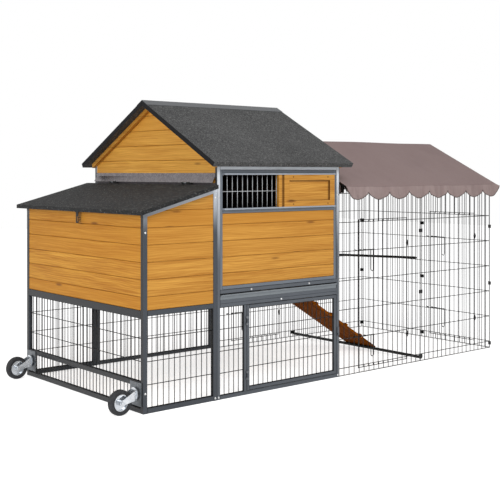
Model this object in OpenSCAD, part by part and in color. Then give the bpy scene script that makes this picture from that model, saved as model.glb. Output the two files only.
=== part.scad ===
// Movable hen house: a boarded house and nest box on a tube frame, casters at the nest end,
// and a wire run under a scalloped canopy.
// Millimetres, +Z up. The origin lies on the ground under the middle of the whole length and depth.

/* [Coop] */
// Depth of the coop from front to back
coop_w = 1220; // [1160:5:1300]
// Length of the nest box end
nest_l = 460; // [440:1:500]
// Length of the house
house_l = 897; // [870:1:960]
// Side of the nest box frame tube
tube = 25; // [22:1:28]
// Side of the house frame tube
house_tube = 20; // [18:1:22]
// Height of the rail under the nest box end boards
end_rail_h = 38; // [25:1:45]
// Height of the nest box deck
deck_z = 505; // [480:5:530]
// Height of the nest box frame at its outer end
nest_low_z = 987; // [960:1:1010]
// Height of the nest box frame at the house
nest_high_z = 1108; // [1090:1:1112]
// Height of the house posts
wall_z = 1238; // [1230:2:1260]
// Height of the lower rail across the nest box end
mid_rail_z = 130; // [120:5:160]

/* [Boards] */
// Height of one wall board
board_h = 85; // [75:1:95]
// Height of the lowest wall board
first_board_h = 67; // [50:1:85]
// Thickness of the wall boards
board_t = 12; // [10:1:14]
// Chamfer along the edges of a board
board_edge = 3; // [1:0.5:4]
// Inset of the boards behind the tube faces
board_inset = 3; // [2:0.5:4]

/* [Roof] */
// Pitch of the house roof
roof_angle = 28; // [27:0.1:31]
// Thickness of a roof panel
roof_t = 26; // [20:1:30]
// Overhang of the roof past the front and back walls
eave_over = 43; // [35:1:55]
// Overhang of the roof past the end walls
gable_over = 62; // [50:1:70]
// Width of each leg of the ridge cap
cap_leg = 58; // [45:1:75]
// Height of the upper edge of the flashing
flashing_z = 1182; // [1176:1:1190]

/* [Nest box] */
// Thickness of the nest box lid
lid_t = 20; // [16:1:22]
// Overhang of the lid past the outer end
lid_over = 42; // [36:1:60]
// Overhang of the lid past the front and back
lid_side_over = 47; // [35:1:50]
// Length of the hanging hasp
hasp_l = 62; // [50:1:70]

/* [House front] */
// Side of the tube of the front panel
panel_tube = 18; // [15:1:20]
// Height of the rail over the droppings tray
tray_rail_z = 550; // [548:1:556]
// Height of the rail under the window
window_z = 970; // [940:5:1000]
// Length of the barred opening of the window
window_l = 384; // [340:2:386]
// Pitch of the window bars
window_pitch = 35; // [28:0.5:45]
// Width of the sliding shutter
shutter_l = 430; // [400:2:440]
// Thickness of the shutter board
shutter_t = 8; // [6:0.5:10]

/* [Deck] */
// Length of the tray pan along the house
pan_l = 546; // [500:2:560]
// Height of the runners under the tray
runner_h = 18; // [14:1:19]
// Height of the tray
tray_h = 27; // [20:1:28]
// Width of the ramp
ramp_w = 250; // [220:2:260]
// Length of the ramp
ramp_l = 890; // [875:5:905]
// Number of cleats on the ramp
cleat_n = 5; // [4:1:9]

/* [Lower front] */
// Length of the fixed mesh strip beside the door
strip_l = 162; // [120:1:180]
// Clearance round the lower door
door_gap = 2.5; // [2:0.5:4]
// Pitch of the mesh wires
mesh_pitch = 33; // [28:0.5:45]
// Thickness of the mesh wires
mesh_wire = 3; // [2:0.5:4]

/* [Casters] */
// Diameter of a caster wheel
wheel_d = 125; // [115:1:130]
// Width of the tyre
tyre_w = 36; // [30:1:38]
// Distance from the swivel axis down to the axle
caster_trail = 30.5; // [26:0.5:36]
// Distance from the end of the coop out to the axle
caster_out = 95; // [92:1:110]
// Distance from the side of the coop in to the swivel axis
caster_in = 62; // [56:1:90]

/* [Run] */
// Length of the wire run
pen_l = 1450; // [1400:5:1500]
// How much narrower than the house the wire run is
pen_narrow = 37; // [20:1:70]
// Height of the wire panels
pen_h = 1066; // [1040:1:1080]
// Thickness of the run's wires
pen_wire = 4; // [3:0.5:4.5]
// Width of the rim of each panel
pen_rim = 6; // [5:0.5:8]
// Height of the lowest long wire
pen_first_z = 45; // [40:1:60]
// Drop of the wire loop on a bolt
loop_drop = 128; // [90:2:140]

/* [Canopy] */
// Height of the canopy ridge
canopy_ridge_z = 1394; // [1370:2:1420]
// Height of the fold over the valance
canopy_eave_z = 1110; // [1104:1:1120]
// Distance of the fold past the side of the run
canopy_side_over = 37; // [32:1:45]
// Distance of the fold past the end of the run
canopy_end_over = 15; // [10:1:30]
// Distance of the ridge past the end of the run
ridge_end_over = 93; // [60:1:110]
// Depth of the valance at the middle of a scallop
valance_h = 83; // [76:1:110]
// Depth of the valance between two scallops
notch_h = 40; // [35:1:60]
// Number of scallops along each side
scallop_n = 8; // [6:1:10]
// Thickness of the canopy cloth
cloth_t = 3; // [2:0.5:4]

/* [Hidden] */
// Hair gap between pieces that are fastened together
fit = 0.3;
// Clearance between pieces that slide or turn
run = 0.4;
// Overrun of cuts
over = 1;
$fn = 48;

// Places along the coop, from the outer face of the nest box end
x_house = nest_l;
x_pen = nest_l + house_l;
x_end = x_pen + pen_l;
caster_reach = caster_out + wheel_d / 2;
overall_l = caster_reach + x_end + ridge_end_over;
x_nest = caster_reach - overall_l / 2;
y_front = -coop_w / 2;

// Frame tubes
tube_edge = 2;
deck_rail_z = deck_z - tube;
house_deck_z = deck_rail_z + house_tube;
nest_tan = (nest_high_z - nest_low_z) / nest_l;
nest_angle = atan(nest_tan);
slope_rail_h = tube / cos(nest_angle);
roof_tan = tan(roof_angle);
gable_rail_h = house_tube / cos(roof_angle);
cross_l = coop_w - 2 * tube - 2 * fit;
house_cross_l = coop_w - 2 * house_tube - 2 * fit;
gable_peak_z = roof_z(coop_w / 2) - gable_rail_h - fit;
divider_w = 18;
divider_x = x_house + house_tube + strip_l;

// Walls and roof
board_gap = 0.4;
seams_over_nest = 5;
wall_low_z = deck_z + first_board_h + seams_over_nest * board_h;
rafter_w = 20;
rafter_h = 26;
cap_t = 2;
flashing_t = 1.5;
flashing_leg = 18;
floor_t = 12;
roost_r = 14;
roost_height_share = 0.38;
roost_place_shares = [0.2, 0.42];

// Front panel with its window
panel_gap = 0.8;
panel_y = board_inset;
panel_x = x_house + house_tube + panel_gap;
panel_l = house_l - 2 * house_tube - 2 * panel_gap;
panel_z = tray_rail_z + house_tube + panel_gap;
header_h = 18;
panel_top_z = wall_z - house_tube - header_h - panel_gap - fit;
opening_x = panel_x + panel_tube + fit;
opening_l = panel_l - 2 * panel_tube - 2 * fit;
opening_z = window_z + panel_tube + fit;
opening_h = panel_top_z - panel_tube - fit - opening_z;
bar_wire = 4;
grille_in = 6;
grille_y = panel_y + grille_in;
track_t = 1.5;
track_lip = 8;
shutter_trim_t = 7;
shutter_trim_w = 38;
shutter_handle_w = 22;
shutter_groove = 18;
shutter_back_y = panel_y + board_edge / 3;
shutter_front_y = shutter_back_y - shutter_t - shutter_trim_t;
shutter_rest_share = 0.98;
shutter_x = opening_x + (opening_l - shutter_l) * shutter_rest_share;
shutter_z = opening_z + track_t + run;
shutter_h = opening_h - 2 * track_t - 2 * run;

// Deck, tray and ramp
runner_w = 20;
sheet_t = 1.5;
tray_z = house_deck_z + runner_h;
tray_x = x_house + house_tube + door_gap;
tray_front_l = house_l - 2 * house_tube - 2 * door_gap;
tray_y = 4;
deck_y = 6;
deck_back = 18;
tray_l = coop_w - tray_y - deck_back;
deck_l = coop_w - deck_y - deck_back;
tray_lip = 10;
tray_lip_drop = 7;
pan_end_x = tray_x + pan_l;
joist_x = pan_end_x - house_tube / 2;
bearer_x = pan_end_x + door_gap;
bearer_end_x = x_pen - house_tube - door_gap;
ramp_y_share = 0.344;
ramp_y = coop_w * ramp_y_share;
pop_side = 5;
pop_rows = 3;
pop_top_z = deck_z + first_board_h + pop_rows * board_h - board_gap / 2;
pop_trim_w = 22;
ramp_t = 14;
ramp_pin_r = 3;
ramp_eye_r = 7;
ramp_eye_w = 18;
ramp_strap_l = 70;
ramp_strap_t = 2;
ramp_pin_drop = 12;
ramp_pin_x = x_pen + ramp_eye_r + run;
ramp_pin_z = house_deck_z - ramp_pin_drop;
cleat_w = 18;
cleat_h = 10;
cleat_start = 90;
tie_r = 9.5;
tie_z = 22;
tie_x = x_pen + pen_l / 2 + tie_r + pen_rim / 2;
ramp_dist = norm([tie_x - ramp_pin_x, ramp_pin_z - tie_z]);
ramp_lift = asin((tie_r + ramp_t / 2 + fit) / ramp_dist);
ramp_angle = atan2(ramp_pin_z - tie_z, tie_x - ramp_pin_x) - ramp_lift;

// Nest box lid, its hinges and hasp
lid_pin_r = 2.5;
lid_eye_r = 5;
lid_eye_l = 22;
leaf_t = 2;
lid_leaf_w = 30;
lid_pin_back = 26;
lid_end_gap = 2;
lid_hinge_shares = [0.2, 0.8];
lid_v = lid_t / cos(nest_angle);
lid_pin_x = nest_l - lid_pin_back;
lid_end_x = lid_pin_x - lid_end_gap;
lid_pin_z = nest_low_z + lid_pin_x * nest_tan + lid_v + (lid_eye_r + leaf_t) / cos(nest_angle);
hasp_w = 26;
hasp_t = 2;
hasp_out = 16;
hasp_eye_r = 4;
hasp_pin_r = 1.8;
hasp_drop = 7;
hasp_slot_w = 9;
hasp_slot_h = 26;
hasp_lug = 5;
staple_r = 2;
staple_h = 14;
hasp_pin_z = nest_low_z - hasp_out * nest_tan - hasp_drop;
staple_reach = hasp_out - hasp_t - 2 * staple_r;

// Lower door
door_tube = 18;
door_x = divider_x + divider_w + door_gap;
door_l = x_pen - house_tube - door_gap - door_x;
door_z = house_tube + door_gap;
door_h = deck_rail_z - door_gap - door_z;
hinge_r = 5;
hinge_l = 46;
hinge_pin_r = 2.5;
hinge_shares = [0.18, 0.82];
door_pin_x = door_x - door_gap / 2;
door_pin_y = -hinge_r - run;
button_l = 48;
button_w = 16;
button_t = 4;
button_z_share = 0.5;
mesh_field_rows = 4;

// Casters
caster_z = wheel_d / 2 + caster_trail;
plate_w = 100;
plate_h = 116;
plate_t = 4;
race_r = 27;
race_h = 6;
head_r = 33;
head_h = 5;
leg_t = 3;
leg_gap = 3;
leg_end_r = 14;
leg_root_share = 0.8;
axle_r = 5;
axle_nut_r = 9;
axle_nut_h = 7;
rim_share = 0.66;
rim_wall = 4;
hub_r = 14;
web_t = 6;
tyre_round = 10;
rim_r = wheel_d / 2 * rim_share;
rim_half = tyre_w / 2 - tyre_round / 2;
kingpin_r = 5;
kingpin_h = 3;

// Run panels, doors and bolts
half_pen = pen_l / 2;
pen_w = coop_w - pen_narrow;
side_gaps = 17;
end_gaps = 14;
row_gaps = 6;
pen_row = (pen_h - pen_rim / 2 - pen_first_z) / row_gaps;
side_lines = [for (i = [0:side_gaps]) fit + i * (half_pen - 2 * fit) / side_gaps];
corner_cut = (half_pen - pen_wire - 2 * fit) / half_pen;
end_lines = [for (i = [0:end_gaps]) i * (pen_w / 2 - fit) / end_gaps];
pen_rows = concat(
    [0], [for (i = [0:row_gaps - 1]) pen_first_z + i * pen_row], [pen_h]
);
side_hole_n = [4, 14, 1, 6];
end_hole_n = [3, 12, 1, 6];
door_lap = 15;
door_off = 1.5;
pen_door_y = -door_off - pen_wire;
pin_off = 6;
eye_r = 5;
eye_bore = 2.9;
eye_h = 14;
pin_h = 36;
pen_pin_y = -eye_r - door_off / 2;
rod_r = 2.5;
rod_start = 4;
rod_l = 125;
bolt_y = pen_door_y - eye_r - over;
guide_w = 8;
guide_places = [10, 46];
loop_w = 24;
keeper_w = 9;
bolt_rises = [3.345, 3.863];
bolt_heights = [pen_rows[5] + bolt_rises[0], pen_rows[2] + bolt_rises[1]];
side_door = [side_lines[4] - door_lap, side_lines[14] - pin_off];
end_door = [end_lines[12] + door_lap, end_lines[3] + pin_off];
run_door_low = pen_first_z - door_lap;
run_door_high = pen_rows[6] + door_lap;
clip_w = 32;
clip_h = 22;
clip_t = 4;
clip_shares = [0.02, 0.4, 0.76];
perch_r = 9;
perch_row = 4;
perch_side_share = 0.83;
perch_end_share = 0.546;

// Canopy and the frame under it
canopy_gap = 19;
canopy_x = x_pen + canopy_gap;
canopy_mid = pen_w / 2;
canopy_half = canopy_mid + canopy_side_over;
canopy_rise = canopy_ridge_z - canopy_eave_z;
canopy_tan = canopy_rise / canopy_half;
canopy_steps = 5;
canopy_sag = 10;
cloth_seat = 1.5;
edge_sag_share = 0.25;
valance_wave = 5;
valance_out = 7;
valance_end_out = 28;
valance_row_shares = [1, 0.62, 0.28];
slope_row_shares = [0, 1 / 3, 2 / 3, 1];
hem_round_share = 0.6;
end_round_share = 0.3;
end_depth_share = 0.3;
pole = 14;
rafter_v = 16;
pole_in = 10;
rafter_places = [2 * pole, half_pen - pole / 2, pen_l - 2 * pole];
canopy_cols = scallop_n * canopy_steps;
canopy_side_rows = concat(
    [for (s = valance_row_shares) [1, s]], [for (s = slope_row_shares) [0, s]]
);
canopy_last = len(canopy_side_rows) - 2;
canopy_rows = concat(
    [for (r = canopy_side_rows) [-1, r[0], r[1]]],
    [for (k = [canopy_last:-1:0]) [1, canopy_side_rows[k][0], canopy_side_rows[k][1]]]
);
canopy_row_n = len(canopy_rows);
canopy_count = (canopy_cols + 1) * canopy_row_n;

// Bolt heads and the hanger rod at the run side of the house
bolt_r = 6;
bolt_h = 3.5;
nest_bolt_shares = [0.1, 0.9];
post_bolt_shares = [0.01, 0.852];
rail_bolt_shares = [0.26, 0.735];
side_bolt_shares = [0.503, 0.611];
hanger_r = 4;
hanger_low_z = 1050;
hanger_l = 166;
hanger_out = 7;

// Every node of the model

// Height of the nest box frame under its lid
function slope_z(x) = nest_low_z + nest_tan * x;

// Height of the underside of the house roof
function roof_z(y) = wall_z + roof_tan * (coop_w / 2 - abs(y - coop_w / 2));

// Corners of a rectangular tube with broken edges
function tube_outline(w, h) = [
    [tube_edge, 0], [w - tube_edge, 0], [w, tube_edge], [w, h - tube_edge],
    [w - tube_edge, h], [tube_edge, h], [0, h - tube_edge], [0, tube_edge]
];

// Lines of a mesh between two ends, near the pitch
function mesh_lines(from, to, pitch) =
    let (n = max(1, round((to - from) / pitch))) [for (i = [0:n]) from + (to - from) * i / n];

// Evenly spread rows of a mesh field
function mesh_rows(low, high) =
    [for (i = [0:mesh_field_rows]) low + (high - low) * i / mesh_field_rows];

// A place counted from the front foot of the nest box end
module at(place)
    translate([x_nest + place[0], y_front + place[1], place[2]]) children();

// Both long sides of the coop: the front as drawn, the back mirrored
module on_both_sides()
    for (back = [0, 1])
        translate([0, back * coop_w, 0]) mirror([0, back, 0]) children();

// An outline in x and z, made thick along y
module plate_xz(t)
    translate([0, t, 0]) rotate([90, 0, 0]) linear_extrude(t) children();

// An outline in y and z, made long along x
module plate_yz(l)
    rotate([90, 0, 90]) linear_extrude(l) children();

module bar_z(l, w)
    linear_extrude(l) polygon(tube_outline(w, w));

module bar_x(l, w)
    rotate([90, 0, 90]) linear_extrude(l) polygon(tube_outline(w, w));

module bar_y(l, w, h)
    translate([0, l, 0]) rotate([90, 0, 0]) linear_extrude(l) polygon(tube_outline(w, h));

module rod_x(l, r)
    rotate([0, 90, 0]) cylinder(h = l, r = r);

module rod_y(l, r)
    rotate([-90, 0, 0]) cylinder(h = l, r = r);

// A board lying on edge along x, its grooved face towards -y
module board(l, low, high)
    plate_yz(l) polygon([
        [0, low + board_edge], [board_edge, low], [board_t, low],
        [board_t, high], [board_edge, high], [0, high - board_edge]
    ]);

// Boards on one shared pitch, each one cut to an outline in x and z
module boards(l, z_low, z_high) {
    rows = ceil((z_high - deck_z) / board_h);
    for (k = [-1:rows]) {
        seam = deck_z + first_board_h + k * board_h;
        low = max(z_low, seam);
        high = min(z_high, seam + board_h) - board_gap;
        if (high - low > 2 * board_edge)
            intersection() {
                board(l, low, high);
                translate([0, -over, 0]) plate_xz(board_t + 2 * over) children();
            }
    }
}

// Boards with plain ends and edges
module plain_boards(l, z_low, z_high)
    boards(l, z_low, z_high) square([l, z_high]);

// A flat net between lines in x and z, with one larger hole where asked
module net(xs, zs, wire, rim, t, hole = [0, 0, 0, 0]) {
    nx = len(xs) - 1;
    nz = len(zs) - 1;
    function low(v, i) = v[i] + (i == 0 ? rim : wire / 2);
    function high(v, i, n) = v[i] - (i == n ? rim : wire / 2);
    plate_xz(t) difference() {
        translate([xs[0], zs[0]]) square([xs[nx] - xs[0], zs[nz] - zs[0]]);
        for (i = [0:nx - 1])
            for (j = [0:nz - 1])
                if (i < hole[0] || i >= hole[1] || j < hole[2] || j >= hole[3])
                    translate([low(xs, i), low(zs, j)])
                        square([
                            high(xs, i + 1, nx) - low(xs, i), high(zs, j + 1, nz) - low(zs, j)
                        ]);
        if (hole[1] > hole[0])
            translate([low(xs, hole[0]), low(zs, hole[2])])
                square([
                    high(xs, hole[1], nx) - low(xs, hole[0]), high(zs, hole[3], nz) - low(zs, hole[2])
                ]);
    }
}

// A mesh field in x and z
module mesh(x_low, x_high, zs)
    net(mesh_lines(x_low, x_high, mesh_pitch), zs, mesh_wire, mesh_wire, mesh_wire);

// Nest box frame, both sides: posts, rails and the sloping top rail
module nest_frame()
    color("dimgray") at([0, 0, 0]) on_both_sides() {
        for (x = [0, nest_l - tube])
            intersection() {
                translate([x, 0, 0]) bar_z(nest_high_z, tube);
                translate([0, -over, 0]) plate_xz(tube + 2 * over) polygon([
                    [0, 0], [nest_l, 0], [nest_l, slope_z(nest_l) - slope_rail_h - fit],
                    [0, slope_z(0) - slope_rail_h - fit]
                ]);
            }
        for (z = [0, deck_rail_z])
            translate([tube + fit, 0, z]) bar_x(nest_l - 2 * tube - 2 * fit, tube);
        plate_xz(tube) polygon([
            [0, slope_z(0) - slope_rail_h], [nest_l, slope_z(nest_l) - slope_rail_h],
            [nest_l, slope_z(nest_l)], [0, slope_z(0)]
        ]);
    }

// One side of the house frame: two posts and the rails between them
module house_side_frame(rail_heights) {
    for (x = [fit, house_l - house_tube])
        translate([x, 0, 0]) bar_z(wall_z - fit, house_tube);
    for (z = rail_heights)
        translate([house_tube + 2 * fit, 0, z]) bar_x(house_l - 2 * house_tube - 3 * fit, house_tube);
}

module house_front_frame()
    color("dimgray") at([x_house, 0, 0]) {
        translate([house_tube + 2 * fit, 0, house_deck_z + fit])
            cube([house_l - 2 * house_tube - 3 * fit, deck_y - fit, runner_h - 2 * fit]);
        house_side_frame([0, deck_rail_z, tray_rail_z, wall_z - house_tube - fit]);
        translate([house_tube + 2 * fit, 0, wall_z - house_tube - 2 * fit - header_h])
            bar_x(house_l - 2 * house_tube - 3 * fit, header_h);
        translate([divider_x - x_house, 0, house_tube + fit])
            bar_z(deck_rail_z - house_tube - 2 * fit, divider_w);
    }

module house_back_frame()
    color("dimgray") at([x_house, coop_w, 0]) mirror([0, 1, 0])
        house_side_frame([0, deck_rail_z, wall_z - house_tube - fit]);

// Rails that run from the front frame to the back frame, and those along the gables
module cross_rails()
    color("dimgray") {
        for (z = [0, mid_rail_z])
            at([0, tube + fit, z]) bar_y(cross_l, tube, tube);
        at([0, tube + fit, deck_z - end_rail_h]) bar_y(cross_l, tube, end_rail_h);
        lid_rail_z = slope_z(nest_l - tube) - slope_rail_h - tube;
        for (z = [deck_rail_z, lid_rail_z])
            at([nest_l - tube, tube + fit, z]) bar_y(cross_l, tube, tube);
        for (x = [x_house + fit, joist_x, x_pen - house_tube])
            at([x, house_tube + fit, deck_rail_z]) bar_y(house_cross_l, house_tube, house_tube);
        low_y = house_tube + fit;
        high_y = coop_w / 2 - fit;
        for (x = [x_house + fit, x_pen - house_tube])
            at([x, 0, 0]) on_both_sides() plate_yz(house_tube) polygon([
                [low_y, roof_z(low_y) - gable_rail_h], [high_y, roof_z(high_y) - gable_rail_h],
                [high_y, roof_z(high_y) - fit], [low_y, roof_z(low_y) - fit]
            ]);
    }

// Mesh round the foot of the nest box: both sides and the two fields of the end
module nest_meshes()
    color("slategray") at([0, 0, 0]) {
        low = tube + fit;
        rows = mesh_rows(low, deck_rail_z - fit);
        on_both_sides() translate([0, (tube - mesh_wire) / 2, 0]) mesh(low, nest_l - low, rows);
        upper = [mid_rail_z + tube + fit, rows[2], rows[3], deck_z - end_rail_h - fit];
        for (zs = [[low, mid_rail_z - fit], upper])
            translate([(tube + mesh_wire) / 2, 0, 0]) rotate([0, 0, 90]) mesh(low, coop_w - low, zs);
    }

// Fixed mesh beside the lower door and across the back
module house_meshes()
    color("slategray") at([0, 0, 0]) {
        rows = mesh_rows(house_tube + fit, deck_rail_z - fit);
        left = x_house + house_tube + 2 * fit;
        inset = (house_tube - mesh_wire) / 2;
        translate([0, inset, 0]) mesh(left, divider_x - fit, rows);
        translate([0, coop_w - inset - mesh_wire, 0]) mesh(left, x_pen - house_tube - fit, rows);
    }

// Front and back boards of the nest box, their tops cut along the slope
module nest_side_boards()
    color("peru") at([tube + fit, 0, 0]) on_both_sides() translate([0, board_inset, 0]) {
        l = nest_l - 2 * tube - 2 * fit;
        boards(l, deck_z + fit, nest_high_z) polygon([
            [0, 0], [l, 0], [l, slope_z(tube + l) - slope_rail_h - fit],
            [0, slope_z(tube) - slope_rail_h - fit]
        ]);
    }

// End boards of the nest box
module nest_end_boards()
    color("peru") at([board_inset, coop_w - tube - fit, 0]) rotate([0, 0, -90])
        plain_boards(cross_l, deck_z + fit, nest_low_z);

// Floors of the nest box and of the house beside the tray, with the bearers of the latter
module floor_boards()
    color("burlywood") {
        in = board_inset + board_t + fit;
        at([in, tube + fit, deck_z + fit]) cube([nest_l - in - fit, cross_l, floor_t]);
        l = bearer_end_x - bearer_x;
        at([bearer_x, deck_y, tray_z + fit]) cube([l, deck_l, floor_t]);
        for (x = [bearer_x, bearer_end_x - runner_w])
            at([x, deck_y, house_deck_z + fit]) cube([runner_w, deck_l, runner_h - fit]);
    }

// Board between the two nests, cut along the slope
module nest_divider()
    color("burlywood") {
        left = board_inset + board_t + fit;
        right = nest_l - tube - fit;
        low = deck_z + floor_t + 2 * fit;
        at([0, (coop_w - board_t) / 2, 0]) plate_xz(board_t) polygon([
            [left, low], [right, low], [right, slope_z(right) - fit], [left, slope_z(left) - fit]
        ]);
    }

// Outline of an end wall with the peak cut under the gable rails
module gable_outline() {
    low_y = house_tube + fit;
    low_top = roof_z(low_y) - gable_rail_h - fit;
    polygon([
        [0, 0], [house_cross_l, 0], [house_cross_l, low_top], [house_cross_l / 2, gable_peak_z], [0, low_top]
    ]);
}

// End wall over the nest box: the gable and a low sill board, open between them to the nests
module left_wall()
    color("peru") at([x_house + board_inset, coop_w - house_tube - fit, 0]) rotate([0, 0, -90]) {
        boards(house_cross_l, wall_low_z, gable_peak_z) gable_outline();
        plain_boards(house_cross_l, house_deck_z + fit, deck_z + first_board_h);
    }

// End wall on the run with the doorway at the head of the ramp and the battens beside it
module right_wall()
    color("peru") at([x_pen - board_inset, house_tube + fit, 0]) rotate([0, 0, 90]) {
        left = ramp_y - pop_side - house_tube - fit;
        w = ramp_w + 2 * pop_side;
        boards(house_cross_l, house_deck_z + fit, gable_peak_z) difference() {
            gable_outline();
            translate([left, 0]) square([w, pop_top_z]);
        }
        low = tray_z + floor_t + 2 * fit;
        for (x = [left - pop_trim_w, left + w])
            translate([x, board_t + fit, low]) cube([pop_trim_w, board_t, pop_top_z - low]);
    }

module back_wall()
    color("peru") at([x_pen - house_tube - fit, coop_w - board_inset, 0]) rotate([0, 0, 180])
        plain_boards(
            house_l - 2 * house_tube - 3 * fit, house_deck_z + fit, wall_z - house_tube - 2 * fit
        );

// Tube frame that holds the front boards and the window
module front_panel_frame()
    color("slategray") at([panel_x, panel_y, 0]) {
        for (x = [0, panel_l - panel_tube])
            translate([x, 0, panel_z]) bar_z(panel_top_z - panel_z, panel_tube);
        for (z = [panel_z, window_z, panel_top_z - panel_tube])
            translate([panel_tube + fit, 0, z]) bar_x(panel_l - 2 * panel_tube - 2 * fit, panel_tube);
    }

// Boards under the window and behind the parked shutter
module front_boards()
    color("peru") {
        at([opening_x, panel_y + board_inset, 0])
            plain_boards(opening_l, panel_z + panel_tube + fit, window_z - fit + board_gap);
        at([opening_x + window_l + fit, grille_y, 0])
            plain_boards(opening_l - window_l - fit, opening_z, opening_z + opening_h);
    }

// Upright bars of the window with one bar across
module window_bars()
    color("lightgray") at([0, grille_y, 0])
        net(
            mesh_lines(opening_x, opening_x + window_l, window_pitch),
            [opening_z, opening_z + opening_h / 2, opening_z + opening_h],
            bar_wire, bar_wire, bar_wire
        );

// Channels in which the shutter slides
module window_tracks()
    color("lightgray") {
        outer_y = shutter_front_y - run - track_t;
        depth = shutter_back_y + run + track_t - outer_y;
        for (top = [0, 1])
            at([opening_x, outer_y, opening_z + top * opening_h]) mirror([0, 0, top])
                plate_yz(opening_l) polygon([
                    [0, 0], [depth, 0], [depth, track_lip], [depth - track_t, track_lip],
                    [depth - track_t, track_t], [track_t, track_t], [track_t, track_lip], [0, track_lip]
                ]);
    }

// Wooden shutter: a board with a grip batten and a raised frame
module window_shutter()
    color("goldenrod") at([shutter_x, shutter_front_y, shutter_z]) {
        translate([0, shutter_trim_t + fit, 0]) cube([shutter_l, shutter_t - fit, shutter_h]);
        cube([shutter_handle_w, shutter_trim_t, shutter_h]);
        frame_x = shutter_handle_w + shutter_groove;
        for (x = [frame_x, shutter_l - shutter_trim_w])
            translate([x, 0, 0]) cube([shutter_trim_w, shutter_trim_t, shutter_h]);
        rail_l = shutter_l - frame_x - 2 * shutter_trim_w - 2 * fit;
        for (z = [0, shutter_h - shutter_trim_w])
            translate([frame_x + shutter_trim_w + fit, 0, z]) cube([rail_l, shutter_trim_t, shutter_trim_w]);
    }

// One roof panel, square at the eave and plumb at the ridge
module roof_panel() {
    ridge_y = coop_w / 2 - fit;
    at([x_house - gable_over, 0, 0]) plate_yz(house_l + 2 * gable_over) polygon([
        [-eave_over, roof_z(-eave_over)], [ridge_y, roof_z(ridge_y)],
        [ridge_y, roof_z(ridge_y) + roof_t / cos(roof_angle)],
        [-eave_over - roof_t * sin(roof_angle), roof_z(-eave_over) + roof_t * cos(roof_angle)]
    ]);
}

module roof_front()
    color("dimgray") roof_panel();

module roof_back()
    color("dimgray") mirror([0, 1, 0]) roof_panel();

// Wooden rafters under the roof overhang, just outside the end walls
module roof_rafters()
    color("peru") {
        high_y = coop_w / 2 - fit;
        for (x = [x_house - rafter_w - fit, x_pen + fit])
            at([x, 0, 0]) on_both_sides() plate_yz(rafter_w) polygon([
                [0, roof_z(0) - rafter_h], [high_y, roof_z(high_y) - rafter_h],
                [high_y, roof_z(high_y) - fit], [0, roof_z(0) - fit]
            ]);
    }

// Folded metal cap along the ridge
module ridge_cap()
    color("gray") {
        leg_y = cap_leg * cos(roof_angle);
        leg_z = cap_leg * sin(roof_angle);
        rise = cap_t / cos(roof_angle);
        ridge_z = roof_z(coop_w / 2) + roof_t / cos(roof_angle) + fit;
        at([x_house - gable_over - fit, coop_w / 2, ridge_z])
            plate_yz(house_l + 2 * gable_over + 2 * fit) polygon([
                [-leg_y, -leg_z], [0, 0], [leg_y, -leg_z], [leg_y, rise - leg_z], [0, rise],
                [-leg_y, rise - leg_z]
            ]);
    }

// Bent strip on the gable that sheds water over the lid hinges
module lid_flashing()
    color("lightgray") {
        face = x_house + board_inset - fit;
        bend_z = flashing_z - flashing_leg;
        low_x = lid_pin_x + lid_eye_r + run + flashing_t;
        low_z = lid_pin_z + leaf_t;
        at([0, house_tube + fit, 0]) plate_xz(house_cross_l) polygon([
            [face - flashing_t, flashing_z], [face, flashing_z], [face, bend_z],
            [low_x + flashing_t, low_z], [low_x, low_z], [face - flashing_t, bend_z]
        ]);
    }

// Lid of the nest box with the moving leaves and eyes of its hinges and the pin of its hasp
module nest_lid()
    color("dimgray") {
        at([0, -lid_side_over, 0]) plate_xz(coop_w + 2 * lid_side_over) polygon([
            [-lid_over, slope_z(-lid_over) + fit], [lid_end_x, slope_z(lid_end_x) + fit],
            [lid_end_x, slope_z(lid_end_x) + lid_v], [-lid_over, slope_z(-lid_over) + lid_v]
        ]);
        for (s = lid_hinge_shares)
            for (side = [-1, 1])
                at([lid_pin_x, coop_w * s + side * (lid_eye_l + run) - lid_eye_l / 2, lid_pin_z])
                    lid_eye();
        at([-hasp_out, coop_w / 2, hasp_pin_z]) {
            l = hasp_w + 2 * (hasp_lug + run);
            translate([0, -l / 2, 0]) rod_y(l, hasp_pin_r);
            for (y = [-l / 2, l / 2 - hasp_lug])
                translate([-hasp_eye_r, y, -hasp_eye_r])
                    cube([2 * hasp_eye_r, hasp_lug, hasp_eye_r + hasp_drop + lid_t / 2]);
        }
    }

// One hinge eye with a leaf lying down the slope of the lid
module lid_eye()
    difference() {
        union() {
            rod_y(lid_eye_l, lid_eye_r);
            rotate([0, -nest_angle, 0]) plate_xz(lid_eye_l) polygon([
                [-lid_leaf_w, -lid_eye_r - leaf_t - over], [lid_eye_r / 2, -lid_eye_r - leaf_t - over],
                [lid_eye_r / 2, -lid_eye_r * 3 / 4], [-lid_eye_r / 2, -lid_eye_r * 3 / 4],
                [-lid_eye_r / 2, -lid_eye_r - leaf_t / 4], [-lid_leaf_w, -lid_eye_r - leaf_t / 4]
            ]);
        }
        translate([0, -over, 0]) rod_y(lid_eye_l + 2 * over, lid_pin_r + run / 4);
    }

// Hasp that hangs from the lid in front of its staple
module lid_hasp()
    color("silver") at([-hasp_out, (coop_w - hasp_w) / 2, hasp_pin_z])
        difference() {
            union() {
                rod_y(hasp_w, hasp_eye_r);
                translate([-hasp_t / 2, 0, -hasp_l]) cube([hasp_t, hasp_w, hasp_l]);
            }
            translate([0, -over, 0]) rod_y(hasp_w + 2 * over, hasp_pin_r + run / 4);
            translate([-hasp_t, (hasp_w - hasp_slot_w) / 2, hasp_slot_w - hasp_l])
                cube([2 * hasp_t, hasp_slot_w, hasp_slot_h]);
        }

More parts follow.
